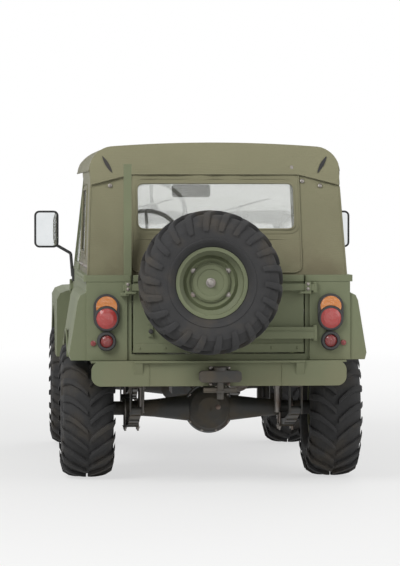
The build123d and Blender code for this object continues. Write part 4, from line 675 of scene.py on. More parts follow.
def draw_out(along, outward, widen, turn):
    """Extrudes the chosen face along the axle, then widens it and turns it round the axle."""
    bpy.ops.mesh.extrude_region_move(TRANSFORM_OT_translate={"value": (along, 0, outward)})
    bpy.ops.transform.resize(value=(1, widen, 1))
    bpy.ops.transform.rotate(value=turn, orient_axis="X", center_override=(0, 0, 0))


def wheel_centre(node):
    """The middle of a wheel's rim or tyre."""
    low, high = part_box(node)
    return (low + high) / 2


class CAR_OT_tyres(bpy.types.Operator):
    """Models one mud tyre and fits a copy on each wheel and on the spare"""

    bl_idname = "car.tyres"
    bl_label = "Fit Tyres"

    def execute(self, context):
        form = tyre_form(context.scene.car_sizes)
        for wheel in WHEELS:
            node = "tyre_" + wheel
            tyre = copied(form, "mud_" + node, Matrix.Translation(wheel_centre(node)))
            dress(tyre, "wheel_" + wheel, "rubber")
            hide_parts(node)
        upright = Matrix.Rotation(math.radians(90), 4, "Z")
        spare = copied(form, "mud_spare_tyre", Matrix.Translation(wheel_centre("spare_tyre")) @ upright)
        dress(spare, "rear_door", "rubber")
        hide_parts("spare_tyre")
        bpy.data.objects.remove(form)
        return {"FINISHED"}


# Wheel nuts, hub caps and the spare's clamp. A nut or bolt is its size across the flats and its height
STUD_CIRCLE_R = 0.06985
STUD_COUNT = 5
WHEEL_NUT = (0.024, 0.018)
CLAMP_BOLT = (0.022, 0.016)
MIDDLE_BOLT = (0.036, 0.022)
NUT_SEAT = 0.0305
HUB_TIP = 0.0705
HUB_CAP = [(-0.004, 0.0), (-0.004, 0.036), (0.004, 0.036), (0.008, 0.033), (0.016, 0.024), (0.018, 0.012),
           (0.019, 0.0)]
CLAMP_RING = [(-0.002, 0.076), (0.005, 0.078), (0.008, 0.09), (0.005, 0.104), (-0.002, 0.106)]
CLAMP_BOLT_X, CLAMP_BOLT_Z = 0.105, 0.0714
CLAMP_BOLT_SEAT = 0.0165


class CAR_OT_wheel_fittings(bpy.types.Operator):
    """Adds nuts and hub caps to the wheels, and the ring and bolts that hold the spare"""

    bl_idname = "car.wheel_fittings"
    bl_label = "Fit Nuts and Hub Caps"

    def execute(self, context):
        for wheel in WHEELS:
            self.road_wheel(wheel)
        self.spare_clamp()
        return {"FINISHED"}

    def road_wheel(self, wheel):
        """The nuts and the hub cap of a wheel."""
        side = -1 if "left" in wheel else 1
        centre = wheel_centre("tyre_" + wheel)
        places = []
        for index in range(STUD_COUNT):
            angle = math.tau * index / STUD_COUNT
            y, z = STUD_CIRCLE_R * math.sin(angle), STUD_CIRCLE_R * math.cos(angle)
            places.append(centre + Vector((side * NUT_SEAT, y, z)))
        nuts = repeated(f"wheel_nuts_{wheel}", hexagon(*WHEEL_NUT), places, (side, 0, 0))
        dress(nuts, "wheel_" + wheel, "bare_steel")
        tip = centre + Vector((side * HUB_TIP, 0, 0))
        cap = turned(f"hub_cap_{wheel}", HUB_CAP, tip, "X" if side > 0 else "-X", 32)
        dress(cap, "wheel_" + wheel, "rim_paint")

    def spare_clamp(self):
        """The ring on the spare's rim, and the bolts that hold it."""
        centre = wheel_centre("spare_tyre")
        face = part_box("spare_carrier")[0].y
        plate = turned("spare_clamp_ring", CLAMP_RING, (centre.x, face, centre.z), "-Y", 64)
        dress(plate, "rear_door", "paint")
        places = [centre + Vector((aside, -CLAMP_BOLT_SEAT, up)) for aside in (-CLAMP_BOLT_X, CLAMP_BOLT_X)
                  for up in (-CLAMP_BOLT_Z, CLAMP_BOLT_Z)]
        bolts = repeated("clamp_bolts", hexagon(*CLAMP_BOLT), places, BACKWARD)
        tip = (centre.x, face - 0.001, centre.z)
        middle = repeated("middle_bolt", hexagon(*MIDDLE_BOLT), [tip], BACKWARD)
        dress(joined("spare_bolts", [bolts, middle]), "rear_door", "bare_steel")


# Finishes of the solids that stay in view
class CAR_OT_finish_solids(bpy.types.Operator):
    """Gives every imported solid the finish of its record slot"""

    bl_idname = "car.finish_solids"
    bl_label = "Finish the Solids"

    def execute(self, context):
        make_finishes(context.scene.car_colours, context.scene.car_sizes)
        for entry in frame["record"]["subparts"]:
            wear(NODES[entry["node"]], entry["material_slot"])
        return {"FINISHED"}


# Canvas top
ROOF = CANVAS_HIGH.z
SIDE_FOOT = CANVAS_HIGH.x
SIDE_TOP = SIDE_FOOT - 0.024
BEND_Z = ROOF - 0.212
ROOF_SHOULDER = (SIDE_TOP - 0.114, ROOF - 0.024)
CURTAIN_FOOT = Vector((0.0, CANVAS_LOW.y, BELT))
CURTAIN_SLOPE = 0.24 / (ROOF - 0.04 - BELT)
CURTAIN_TURN = math.atan(CURTAIN_SLOPE)
CURTAIN_UP = Vector((0.0, math.sin(CURTAIN_TURN), math.cos(CURTAIN_TURN)))
CURTAIN_OUT = Vector((0.0, -math.cos(CURTAIN_TURN), math.sin(CURTAIN_TURN)))
ROOF_FRONT_Y = CANVAS_HIGH.y
ROOF_BREAK_Y = 0.05
ROOF_FRONT_DROP = 0.1
EAVES_Z = ROOF - 0.162
FRONT_LIP_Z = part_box("windscreen_frame")[1].z - 0.012
FRONT_LIP_DEEP = 0.05
QUARTER_FRONT_Y = -0.345
BOW_Y = -0.385

# The rear window on the curtain, and the side window from the quarter's front and from the belt
PANE_HALF = 0.464
PANE_LOW, PANE_HIGH = 0.276, 0.562
PANE_CORNER = 0.046
SIDE_PANE_REAR_LOW, SIDE_PANE_REAR_HIGH, SIDE_PANE_FRONT = 0.83, 0.74, 0.11
SIDE_PANE_LOW, SIDE_PANE_HIGH = 0.12, 0.5

# The roll-up panel, the valance, what is sewn on, and the dark sheets that paint fold shadows
PANEL_HALF = 0.494
PANEL_LOW, PANEL_HIGH = 0.012, 0.66
PANEL_CORNER = 0.05
PANEL_SEAM = PANE_LOW - 0.06
VALANCE_Z, VALANCE_SIDE_Z = ROOF - 0.188, ROOF - 0.25
VALANCE_LAP = 0.05
VALANCE_STUDS = (-0.62, -0.515, 0.515, 0.62)
WELT_R = 0.006
PANEL_HEM_R, PANEL_SEAM_R, VALANCE_HEM_R, EAVES_HEM_R = 0.0045, 0.003, 0.004, 0.005
QUARTER_WELTS = ((0.0, WELT_R), (0.032, 0.0022))
WINDOW_WELTS = ((0.0, WELT_R), (0.026, 0.0024))
# A dark sheet paints the shadow of a fold at each rear corner: its top and foot as across and drop below the
# roof, its half width and its thickness
FOLD_SHADOW_TOP, FOLD_SHADOW_FOOT = (0.664, 0.082), (0.606, 0.182)
FOLD_SHADOW_HALF, FOLD_SHADOW_THICK = 0.0105, 0.0012
FOOT_STUDS, FOOT_STUD_PITCH = 7, 0.19
BUTTON_X, BUTTON_DROP = 0.455, 0.153
BUTTON_HALF = Vector((0.009, 0.004, 0.017))
STUD = [(0, 0), (0, 0.0125), (0.003, 0.0125), (0.0045, 0.011), (0.005, 0.007), (0.009, 0.006),
        (0.0105, 0.004), (0.011, 0)]

# Steps of the cloth's grids
ROOF_STEPS = 44
VALANCE_COLUMNS, VALANCE_ROWS = 48, 8
WELT_STEPS = 12


def arc(first, middle, last, steps):
    """Points on the circle through three (across, up) points, from the first to the last."""
    (ax, ay), (bx, by), (cx, cy) = first, middle, last
    double = 2 * (ax * (by - cy) + bx * (cy - ay) + cx * (ay - by))
    a, b, c = (x * x + y * y for x, y in (first, middle, last))
    centre_x = (a * (by - cy) + b * (cy - ay) + c * (ay - by)) / double
    centre_y = (a * (cx - bx) + b * (ax - cx) + c * (bx - ax)) / double
    radius = math.hypot(ax - centre_x, ay - centre_y)
    start = math.atan2(ay - centre_y, ax - centre_x)
    sweep = (math.atan2(cy - centre_y, cx - centre_x) - start + math.pi) % math.tau - math.pi
    turns = [start + sweep * step / steps for step in range(steps + 1)]
    return [(centre_x + radius * math.cos(turn), centre_y + radius * math.sin(turn)) for turn in turns]


# The canvas's section on the car's right, from its foot to the middle of the roof
SECTION = ([(SIDE_FOOT, BELT), (SIDE_TOP, BEND_Z)]
           + arc((SIDE_TOP, BEND_Z), (SIDE_TOP - 0.03, ROOF - 0.072), ROOF_SHOULDER, 14)[1:]
           + arc(ROOF_SHOULDER, (0.0, ROOF), (-ROOF_SHOULDER[0], ROOF_SHOULDER[1]), 28)[1:15])


def side_x(height):
    """The canvas's half width at a height."""
    for (x, z), (next_x, next_z) in zip(SECTION, SECTION[1:]):
        if z <= height <= next_z:
            return x + (next_x - x) * (height - z) / (next_z - z)
    return SECTION[0][0]


def roof_z(across):
    """The height of the roof's edge at a place across the car."""
    for (x, z), (next_x, next_z) in zip(SECTION, SECTION[1:]):
        if next_x <= abs(across) <= x:
            return z + (next_z - z) * (x - abs(across)) / (x - next_x)
    return ROOF


def curtain_y(height):
    """Where the leaning rear curtain is at a height."""
    return CURTAIN_FOOT.y + (height - BELT) * CURTAIN_SLOPE


def on_curtain(across, rise, lift=0.0):
    """A point of the rear curtain: across the car, up along the cloth, and lifted off it."""
    return CURTAIN_FOOT + Vector((across, 0, 0)) + CURTAIN_UP * rise + CURTAIN_OUT * lift


def on_quarter(side, along, height, lift=0.0):
    """A point of the cloth beside the load space."""
    return Vector((side * (side_x(height) + lift), along, height))


def ripple(place, size, amount):
    """An uneven offset for cloth that isn't drawn tight."""
    return noise.noise(Vector(place) / size + Vector((SEED, 0, 0))) * amount


def grid(name, rows, closed=False):
    """A mesh from rows of points. Closed rows join their last point to their first."""
    wide = len(rows[0])
    faces = []
    for row in range(len(rows) - 1):
        here, beyond = row * wide, (row + 1) * wide
        for step in range(wide if closed else wide - 1):
            after = (step + 1) % wide
            faces.append((here + step, here + after, beyond + after, beyond + step))
    mesh = bpy.data.meshes.new(name)
    mesh.from_pydata([point for row in rows for point in row], [], faces)
    piece = bpy.data.objects.new(name, mesh)
    bpy.context.scene.collection.objects.link(piece)
    return piece


def welded(piece):
    """Merges a grid's doubled points, closes its open ends and turns its faces outwards."""
    alone(piece)
    bpy.ops.object.mode_set(mode="EDIT")
    bpy.ops.mesh.select_all(action="SELECT")
    bpy.ops.mesh.remove_doubles(threshold=0.0001)
    bpy.ops.mesh.fill_holes(sides=0)
    bpy.ops.mesh.normals_make_consistent(inside=False)
    bpy.ops.object.mode_set(mode="OBJECT")
    return piece


def rounded(corners, radius, steps=6):
    """An outline of (across, up) corners with each corner rounded off."""
    corners = [Vector(corner) for corner in corners]
    points = []
    for before, corner, after in zip(corners[-1:] + corners[:-1], corners, corners[1:] + corners[:1]):
        start = corner + (before - corner).normalized() * radius
        end = corner + (after - corner).normalized() * radius
        for step in range(steps + 1):
            share = step / steps
            points.append(start * (1 - share) ** 2 + corner * 2 * share * (1 - share) + end * share**2)
    return points


def rectangle(half, low, high):
    """Corners of an upright rectangle about the middle."""
    return [(-half, low), (half, low), (half, high), (-half, high)]


def rear_pane(grown=0.0):
    """The rear window's outline as (across, up) points, grown by a margin."""
    return rounded(rectangle(PANE_HALF + grown, PANE_LOW - grown, PANE_HIGH + grown), PANE_CORNER + grown)


def side_pane(grown=0.0):
    """A side window's outline as (along, up) points, grown by a margin."""
    low, high = BELT + SIDE_PANE_LOW - grown, BELT + SIDE_PANE_HIGH + grown
    front = QUARTER_FRONT_Y - SIDE_PANE_FRONT + grown
    rear_low = QUARTER_FRONT_Y - SIDE_PANE_REAR_LOW - grown
    rear_high = QUARTER_FRONT_Y - SIDE_PANE_REAR_HIGH - grown
    return rounded([(rear_low, low), (front, low), (front, high), (rear_high, high)], PANE_CORNER + grown)


def struck(outline, centre, turn):
    """Where a ray from a centre meets an outline round it."""
    ray = Vector((math.cos(turn), math.sin(turn)))
    best = 0.0
    for first, second in zip(outline, outline[1:] + outline[:1]):
        edge = second - first
        cross = ray.x * edge.y - ray.y * edge.x
        if abs(cross) < 1e-9:
            continue
        gap = first - centre
        reach = (gap.x * edge.y - gap.y * edge.x) / cross
        along = (gap.x * ray.y - gap.y * ray.x) / cross
        if reach > 0 and -1e-6 <= along <= 1 + 1e-6:
            best = max(best, reach)
    return centre + ray * best


def framed(name, outer, inner, place, rings=8):
    """A sheet with a window: rings of points from the window's outline out to the sheet's edge."""
    outer = [Vector(point) for point in outer]
    centre = sum(inner, Vector((0, 0))) / len(inner)
    turns = {math.atan2(point.y - centre.y, point.x - centre.x) for point in outer + inner}
    turns = sorted(turns | {math.tau * step / 72 - math.pi + 0.001 for step in range(72)})
    spokes = [(struck(inner, centre, turn), struck(outer, centre, turn)) for turn in turns]
    shares = [ring / rings for ring in range(rings + 1)]
    rows = [[place(start.lerp(end, share), share) for start, end in spokes] for share in shares]
    return grid(name, rows, closed=True)


def girth(line):
    """The length of an open line of (across, up) points."""
    return sum(math.dist(first, second) for first, second in zip(line, line[1:]))


def flat_area(outline):
    """The area inside a flat outline of (across, up) points."""
    corners = zip(outline, outline[1:] + outline[:1])
    return abs(sum(first[0] * second[1] - second[0] * first[1] for first, second in corners)) / 2


def cloth(piece, cut, area, rests_on, sizes, held="stretched"):
    """Gives a sheet the cloth's thickness and finish."""
    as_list(rests_on)
    modify(piece, "SOLIDIFY", thickness=sizes.cloth, offset=0.0)
    return dress(smooth(piece, 50.0), "chassis", "canvas")


def loop_line(points):
    """A line of points that comes back to its start."""
    return list(points) + [points[0]]


class CAR_OT_canvas(bpy.types.Operator):
    """Hangs the canvas: roof, quarters, rear curtain with its roll-up panel, valance, welts and studs"""

    bl_idname = "car.canvas"
    bl_label = "Hang the Canvas"

    def execute(self, context):
        sizes = context.scene.car_sizes
        roof = self.roof(sizes)
        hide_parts("canvas_top")
        for side in (-1, 1):
            self.quarter(side, sizes)
        self.curtain(sizes)
        self.valance(sizes)
        self.welts()
        self.studs()
        return {"FINISHED"}

    def roof(self, sizes):
        """The sheet from the rear curtain to the windscreen, down to the eaves at both sides."""
        eaves = [(side_x(EAVES_Z), EAVES_Z)] + [point for point in SECTION if point[1] > EAVES_Z]
        outline = eaves + [(-x, z) for x, z in reversed(eaves[:-1])]
        rows = []
        for step in range(ROOF_STEPS + 1):
            row = []
            for x, z in outline:
                rear = curtain_y(z)
                y = rear + (ROOF_FRONT_Y - rear) * step / ROOF_STEPS
                fall = max(0.0, y - ROOF_BREAK_Y) / (ROOF_FRONT_Y - ROOF_BREAK_Y) * ROOF_FRONT_DROP
                slack = ripple((x, y, z), 0.3, 0.003) - self.sag(x, y, sizes.sag)
                row.append((x, y, min(z, ROOF - fall) - 0.002 + slack))
            rows.append(row)
        front = rows[-1]
        for forward, drop in ((0.006, 0.004), (0.009, 0.014), (0.008, FRONT_LIP_DEEP)):
            y = ROOF_FRONT_Y + forward
            rows.append([(x, y, min(z, max(z - drop, FRONT_LIP_Z))) for x, _, z in front])
        cut, area = self.roof_cut(outline)
        return cloth(grid("canvas_roof", rows), cut, area, ["hood_bows", "windscreen_frame"], sizes)

    def roof_cut(self, outline):
        """The roof laid flat: a rear part, a front part that narrows as it falls, and the front lip."""
        front_girth = girth([(x, min(z, ROOF - ROOF_FRONT_DROP)) for x, z in outline])
        fall = math.hypot(ROOF_FRONT_Y - ROOF_BREAK_Y, ROOF_FRONT_DROP)
        rear = sum(girth([first, second]) * (ROOF_BREAK_Y - curtain_y((first[1] + second[1]) / 2))
                   for first, second in zip(outline, outline[1:]))
        area = rear + (girth(outline) + front_girth) / 2 * fall + front_girth * FRONT_LIP_DEEP
        return (girth(outline), ROOF_BREAK_Y - curtain_y(EAVES_Z) + fall + FRONT_LIP_DEEP), area

    def sag(self, x, y, depth):
        """How far the roof hangs between its bows."""
        rear_bow, front = curtain_y(ROOF) + 0.05, ROOF_BREAK_Y
        start, end = (rear_bow, BOW_Y) if y < BOW_Y else (BOW_Y, front)
        share = (y - start) / (end - start)
        middle = max(0.0, 1 - (x / ROOF_SHOULDER[0]) ** 2)
        return depth * middle * math.sin(math.pi * share) if 0 < share < 1 else 0.0

    def quarter(self, side, sizes):
        """The sheet beside the load space, with the welts round its window."""
        top = EAVES_Z + 0.014
        front = QUARTER_FRONT_Y
        outer = [(CURTAIN_FOOT.y, BELT), (front, BELT), (front, top), (curtain_y(top), top)]
        pane = side_pane()

        def place(point, share):
            slack = math.sin(math.pi * share) * (ripple((point.x, point.y, side), 0.16, 0.009) - 0.002)
            return on_quarter(side, point.x, point.y, slack - 0.003)

        sheet = framed(f"canvas_quarter_{hand(side)}", outer, pane, place)
        cut = (QUARTER_FRONT_Y - CURTAIN_FOOT.y, top - BELT)
        cloth(sheet, cut, flat_area(outer) - flat_area(pane), ["hood_bows", "body_capping"], sizes)
        for grown, radius in QUARTER_WELTS:
            line = [on_quarter(side, point.x, point.y, 0.001) for point in loop_line(side_pane(grown))]
            self.welt("quarter_welt", line, radius)

    def curtain(self, sizes):
        """The leaning rear sheet and the roll-up panel on it, both open at the rear window."""
        cosine = math.cos(CURTAIN_TURN)
        half = [(x, (z - BELT) / cosine) for x, z in SECTION]
        outer = half + [(-x, rise) for x, rise in reversed(half[:-1])]
        window = rear_pane()

        def tight(point, share):
            slack = math.sin(math.pi * share) * ripple((point.x, 0, point.y), 0.14, 0.007)
            return on_curtain(point.x, point.y, slack - 0.003)

        sheet = framed("canvas_curtain", outer, window, tight, 10)
        cut = (2 * SIDE_FOOT, (ROOF - BELT) / cosine)
        cloth(sheet, cut, flat_area(outer) - flat_area(window), ["hood_bows", "body_capping"], sizes)
        panel = rounded(rectangle(PANEL_HALF, PANEL_LOW, PANEL_HIGH), PANEL_CORNER)

        def proud(point, share):
            swell = math.sin(math.pi * share) * ripple((point.x, 3, point.y), 0.11, 0.008)
            return on_curtain(point.x, point.y, 0.004 + swell)

        roll = framed("canvas_roll_up_panel", panel, window, proud)
        cut = (2 * PANEL_HALF, PANEL_HIGH - PANEL_LOW)
        cloth(roll, cut, flat_area(panel) - flat_area(window), ["canvas_curtain"], sizes)
        self.curtain_loop("panel_hem", panel, PANEL_HEM_R)
        for grown, radius in WINDOW_WELTS:
            self.curtain_loop("window_welt", rear_pane(grown), radius)
        seam = [on_curtain(across, PANEL_SEAM, 0.005) for across in (-PANEL_HALF, 0, PANEL_HALF)]
        self.welt("panel_seam", seam, PANEL_SEAM_R)

    def curtain_loop(self, name, outline, radius):
        """A welt that runs round an outline on the curtain."""
        self.welt(name, [on_curtain(point.x, point.y, 0.006) for point in loop_line(outline)], radius)

    def valance_edge(self, x):
        """The height of the valance's lower edge: level behind the window, lower at the corners."""
        share = max(0.0, abs(x) - PANEL_HALF) / (SIDE_TOP - PANEL_HALF)
        return VALANCE_Z + (VALANCE_SIDE_Z - VALANCE_Z) * share

    def on_valance(self, x, height, lift):
        """A point of the valance, which hangs along the curtain."""
        return on_curtain(x, (height - BELT) / math.cos(CURTAIN_TURN), lift)

    def valance(self, sizes):
        """The flap that hangs over the curtain from the roof's rear edge."""
        half = VALANCE_COLUMNS / 2
        spread = [math.sin(math.pi / 2 * (step / half - 1)) for step in range(VALANCE_COLUMNS + 1)]
        columns = [(SIDE_TOP + 0.001) * place for place in spread]
        top = [(x, roof_z(min(abs(x), SIDE_TOP))) for x in columns]
        foot = [(x, self.valance_edge(x)) for x in columns]
        rows = []
        for row in range(VALANCE_ROWS + 1):
            share = row / VALANCE_ROWS
            line = []
            for (x, high), (_, low) in zip(top, foot):
                lift = 0.008 + 0.006 * share + ripple((x, share, 5), 0.12, 0.005) * share
                line.append(self.on_valance(x, high + (low - high) * share, lift))
            rows.append(line)
        over_roof = [(point.x, point.y + VALANCE_LAP, point.z - 0.001) for point in rows[0]]
        cosine = math.cos(CURTAIN_TURN)
        area = flat_area(top + foot[::-1]) / cosine + girth(top) * VALANCE_LAP
        cut = (girth(top), VALANCE_LAP + (ROOF - VALANCE_SIDE_Z) / cosine)
        cloth(grid("canvas_valance", [over_roof] + rows), cut, area, ["canvas_roof"], sizes, "hung")
        self.welt("valance_hem", [point + CURTAIN_OUT * 0.001 for point in rows[-1]], VALANCE_HEM_R)

    def welts(self):
        """Welts along the rear corners, hems along the eaves, and dark sheets that paint the fold shadows at
        the corners.
        """
        rise = BEND_Z - 0.045 - BELT
        heights = [BELT + rise * step / WELT_STEPS for step in range(WELT_STEPS + 1)]
        rear = curtain_y(EAVES_Z) + 0.03
        along = [y for y in (rear + step * 0.1 for step in range(20)) if y < ROOF_FRONT_Y]
        for side in (-1, 1):
            corner = [Vector((side * (side_x(z) - 0.002), curtain_y(z) + 0.003, z)) for z in heights]
            self.welt("corner_welt", corner, WELT_R)
            x = side * (side_x(EAVES_Z) + 0.001)
            eaves = [(x, y, EAVES_Z) for y in along + [ROOF_FRONT_Y - 0.002]]
            self.welt("eaves_hem", eaves, EAVES_HEM_R)
            # A dark sheet paints the shadow of the fold at this corner
            self.painted_fold_shadow(side)

    def painted_fold_shadow(self, side):
        """A dark sheet that paints the shadow of the fold where the roof's corner is gathered in."""
        top = self.on_valance(side * FOLD_SHADOW_TOP[0], ROOF - FOLD_SHADOW_TOP[1], 0.0165)
        foot = self.on_valance(side * FOLD_SHADOW_FOOT[0], ROOF - FOLD_SHADOW_FOOT[1], 0.0175)
        across = (foot - top).cross(CURTAIN_OUT).normalized()
        rows = []
        for step in range(WELT_STEPS + 1):
            share = step / WELT_STEPS
            middle = top.lerp(foot, share)
            half = FOLD_SHADOW_HALF * math.sin(math.pi * share) ** 0.8 + 0.0004
            rows.append([middle + across * half * place for place in (-1, -0.4, 0.4, 1)])
        piece = grid("canvas_fold_shadow", rows)
        modify(piece, "SOLIDIFY", thickness=FOLD_SHADOW_THICK, offset=0.0)
        # The dark rubber finish on this sheet is a painted fold shadow
        dress(smooth(piece), "chassis", "rubber")

    def studs(self):
        """Studs below the valance and along the foot of the side cloth, and one turn-button."""
        places = [self.on_valance(x, self.valance_edge(x) - 0.032, 0.004) for x in VALANCE_STUDS]
        studs = [self.stud_row(places, CURTAIN_OUT)]
        along = [CURTAIN_FOOT.y + 0.08 + step * FOOT_STUD_PITCH for step in range(FOOT_STUDS)]
        for side in (-1, 1):
            places = [on_quarter(side, y, BELT + 0.045, -0.001) for y in along]
            studs.append(self.stud_row(places, (side, 0, 0)))
        dress(joined("canvas_studs", studs), "chassis", "bare_steel")
        middle = self.on_valance(BUTTON_X, ROOF - BUTTON_DROP, 0.012)
        dress(block("turn_button", middle - BUTTON_HALF, middle + BUTTON_HALF), "chassis", "bare_steel")

    def stud_row(self, places, out):
        """Studs at some places that all point one way."""
        return repeated("stud_row", turned("stud", STUD, axis="Z", steps=20), places, out)

    def welt(self, name, points, radius):
        """A corded seam along a line of points."""
        return dress(tube(name, points, radius), "chassis", "canvas")


# Seats, with places from the middle of a seat's rear edge
SEAT_X = 0.34
SEAT_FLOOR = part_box("seats")[0].z
SEAT_REAR_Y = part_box("seats")[0].y
SEAT_BOX_HALF, SEAT_BOX_TOP = 0.18, 0.942
SEAT_BOX_REAR, SEAT_BOX_FRONT = 0.1, 0.47
PAD_SIZE, PAD_PLACE = (0.46, 0.48, 0.106), Vector((0, 0.29, 0.99))
BACK_SIZE, BACK_PLACE = (0.44, 0.52, 0.092), Vector((0, 0.085, 1.222))
BACK_LEAN = 8.6
SEAT_PLEATS, SEAT_PLEAT_DEEP = 5, 0.014
BENCH_WIDE = 0.19
BENCH_PLEATS, BENCH_PLEAT_DEEP = 7, 0.012

# A cushion's grid, and the powers that square off a ball: its ring, its plan and its edge
CUSHION_ROWS, CUSHION_COLUMNS = 40, 96
RING_POWER, PLAN_POWER, EDGE_POWER = 0.3, 0.26, 0.36
CROWN = 0.14


def cushion(name, size, pleats, depth):
    """A stuffed box about its own middle: rounded sides, a crowned face and sewn pleats."""
    rows = []
    for row in range(CUSHION_ROWS + 1):
        lift = math.pi * (row / CUSHION_ROWS - 0.5)
        ring, z = curved(math.cos(lift), RING_POWER), curved(math.sin(lift), EDGE_POWER)
        line = []
        for column in range(CUSHION_COLUMNS):
            turn = math.tau * column / CUSHION_COLUMNS
            x, y = ring * curved(math.cos(turn), PLAN_POWER), ring * curved(math.sin(turn), PLAN_POWER)
            crown = 1 + CROWN * (1 - x * x) * (1 - y * y)
            groove = depth * abs(math.cos(math.pi * pleats * x / 2)) ** 14 * abs(z) ** 3 * (1 - abs(y) ** 6)
            thick = z * crown * size[2] - math.copysign(groove, z)
            line.append((x * size[0] / 2, y * size[1] / 2, thick / 2))
        rows.append(line)
    return smooth(welded(grid(name, rows, closed=True)), 60.0)


def curved(value, power):
    """A value raised to a power that keeps its sign."""
    return math.copysign(abs(value) ** power, value)


class CAR_OT_seats(bpy.types.Operator):
    """Upholsters the front seats on their boxes and the two benches in the load space"""

    bl_idname = "car.seats"
    bl_label = "Upholster the Seats"

    def execute(self, context):
        pads = [self.front_seat(side) for side in (-1, 1)]
        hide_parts("seats")
        low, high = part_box("bench_seats")
        middle = (low + high) / 2
        wall = min(abs(low.x), abs(high.x))
        size = (high.y - low.y, BENCH_WIDE, high.z - low.z)
        along = Matrix.Rotation(math.radians(90), 4, "Z")
        for side in (-1, 1):
            bench = cushion(f"bench_{hand(side)}", size, BENCH_PLEATS, BENCH_PLEAT_DEEP)
            place = Vector((side * (wall - BENCH_WIDE / 2), middle.y, middle.z))
            self.upholster(bench, Matrix.Translation(place) @ along)
        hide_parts("bench_seats")
        return {"FINISHED"}

    def upholster(self, piece, matrix):
        piece.data.transform(matrix)
        dress(piece, "chassis", "seat_cover")

    def front_seat(self, side):
        """A seat's box, cushion and back. Gives the cushion."""
        middle = Vector((side * SEAT_X, SEAT_REAR_Y, 0))
        low = middle + Vector((-SEAT_BOX_HALF, SEAT_BOX_REAR, SEAT_FLOOR))
        high = middle + Vector((SEAT_BOX_HALF, SEAT_BOX_FRONT, SEAT_BOX_TOP))
        dress(block(f"seat_box_{hand(side)}", low, high, 0.006), "chassis", "paint")
        pad = cushion(f"seat_cushion_{hand(side)}", PAD_SIZE, SEAT_PLEATS, SEAT_PLEAT_DEEP)
        self.upholster(pad, Matrix.Translation(middle + PAD_PLACE))
        back = cushion(f"seat_back_{hand(side)}", BACK_SIZE, SEAT_PLEATS, SEAT_PLEAT_DEEP)
        lean = Matrix.Rotation(math.radians(90 + BACK_LEAN), 4, "X")
        self.upholster(back, Matrix.Translation(middle + BACK_PLACE) @ lean)
        return pad


# Fittings on the rear and the underside
REAR_FACE = REAR_DOOR_LOW.y + 0.02
BAR_FACE = REAR_FACE - 0.046
BUMPER_FACE = REAR_FACE - 0.07
UPPER_BAR_LOW, UPPER_BAR_HIGH = 1.136, 1.202
RIB_LEFT, RIB_RIGHT, RIB_Z, RIB_HALF = -0.12, 0.552, 0.915, 0.003
BRACKET_EDGE = 0.0025
LIP_SCREW_X, LIP_SCREW_R = (-0.46, -0.31, 0.31, 0.46), 0.008
LATCH_X, LATCH_Z = -0.396, 0.915
LATCH_KNOB = [(0, 0), (0, 0.008), (0.014, 0.008), (0.016, 0.013), (0.026, 0.014), (0.031, 0.01), (0.032, 0)]
BUMPER_SEAM_X, BUMPER_SEAM_Z = (-0.407, 0.364), (0.602, 0.66, 0.73)
BUMPER_SEAM_R = 0.003
HITCH_Z = 0.657
HITCH_BOLT_X, HITCH_BOLT_Z = 0.052, 0.046
AXLE_Z = TYRE_R
SPRING_PLATE_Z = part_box("leaf_springs")[0].z
LEG_ASIDE, LEG_R, LEG_PAST_PLATE = 0.0385, 0.0065, 0.024
LOOP_STEPS = 12
SMALL_BOLT = (0.013, 0.008)
HITCH_BOLT = (0.013, 0.009)
SPRING_NUT = (0.017, 0.012)
CASE_PLUG = (0.02, 0.009)
CASE_FLANGE = [(-0.004, 0.13), (-0.004, 0.148), (0.001, 0.151), (0.01, 0.151), (0.013, 0.148), (0.013, 0.12)]
CASE_BOLTS, CASE_BOLT_R = 10, 0.1385

# Brackets of the upper bar: side, inner edge and outer edge
BAR_BRACKETS = ((-1, 0.512, 0.547), (1, 0.5, 0.535))

# Loops over the axles: axle, the springs' distance from the middle, and the radius of the axle's tube
SPRING_LOOPS = (("rear", 0.47, 0.053), ("front", 0.35, 0.06))


def screws(name, places, out, radius):
    """Domed screw heads at some places, joined in one piece."""
    profile = [(-0.001, 0), (-0.001, radius), (0.001, radius), (radius * 0.4, radius * 0.72),
               (radius * 0.55, radius * 0.3), (radius * 0.58, 0)]
    return repeated(name, turned("screw", profile, axis="Z", steps=16), places, out)


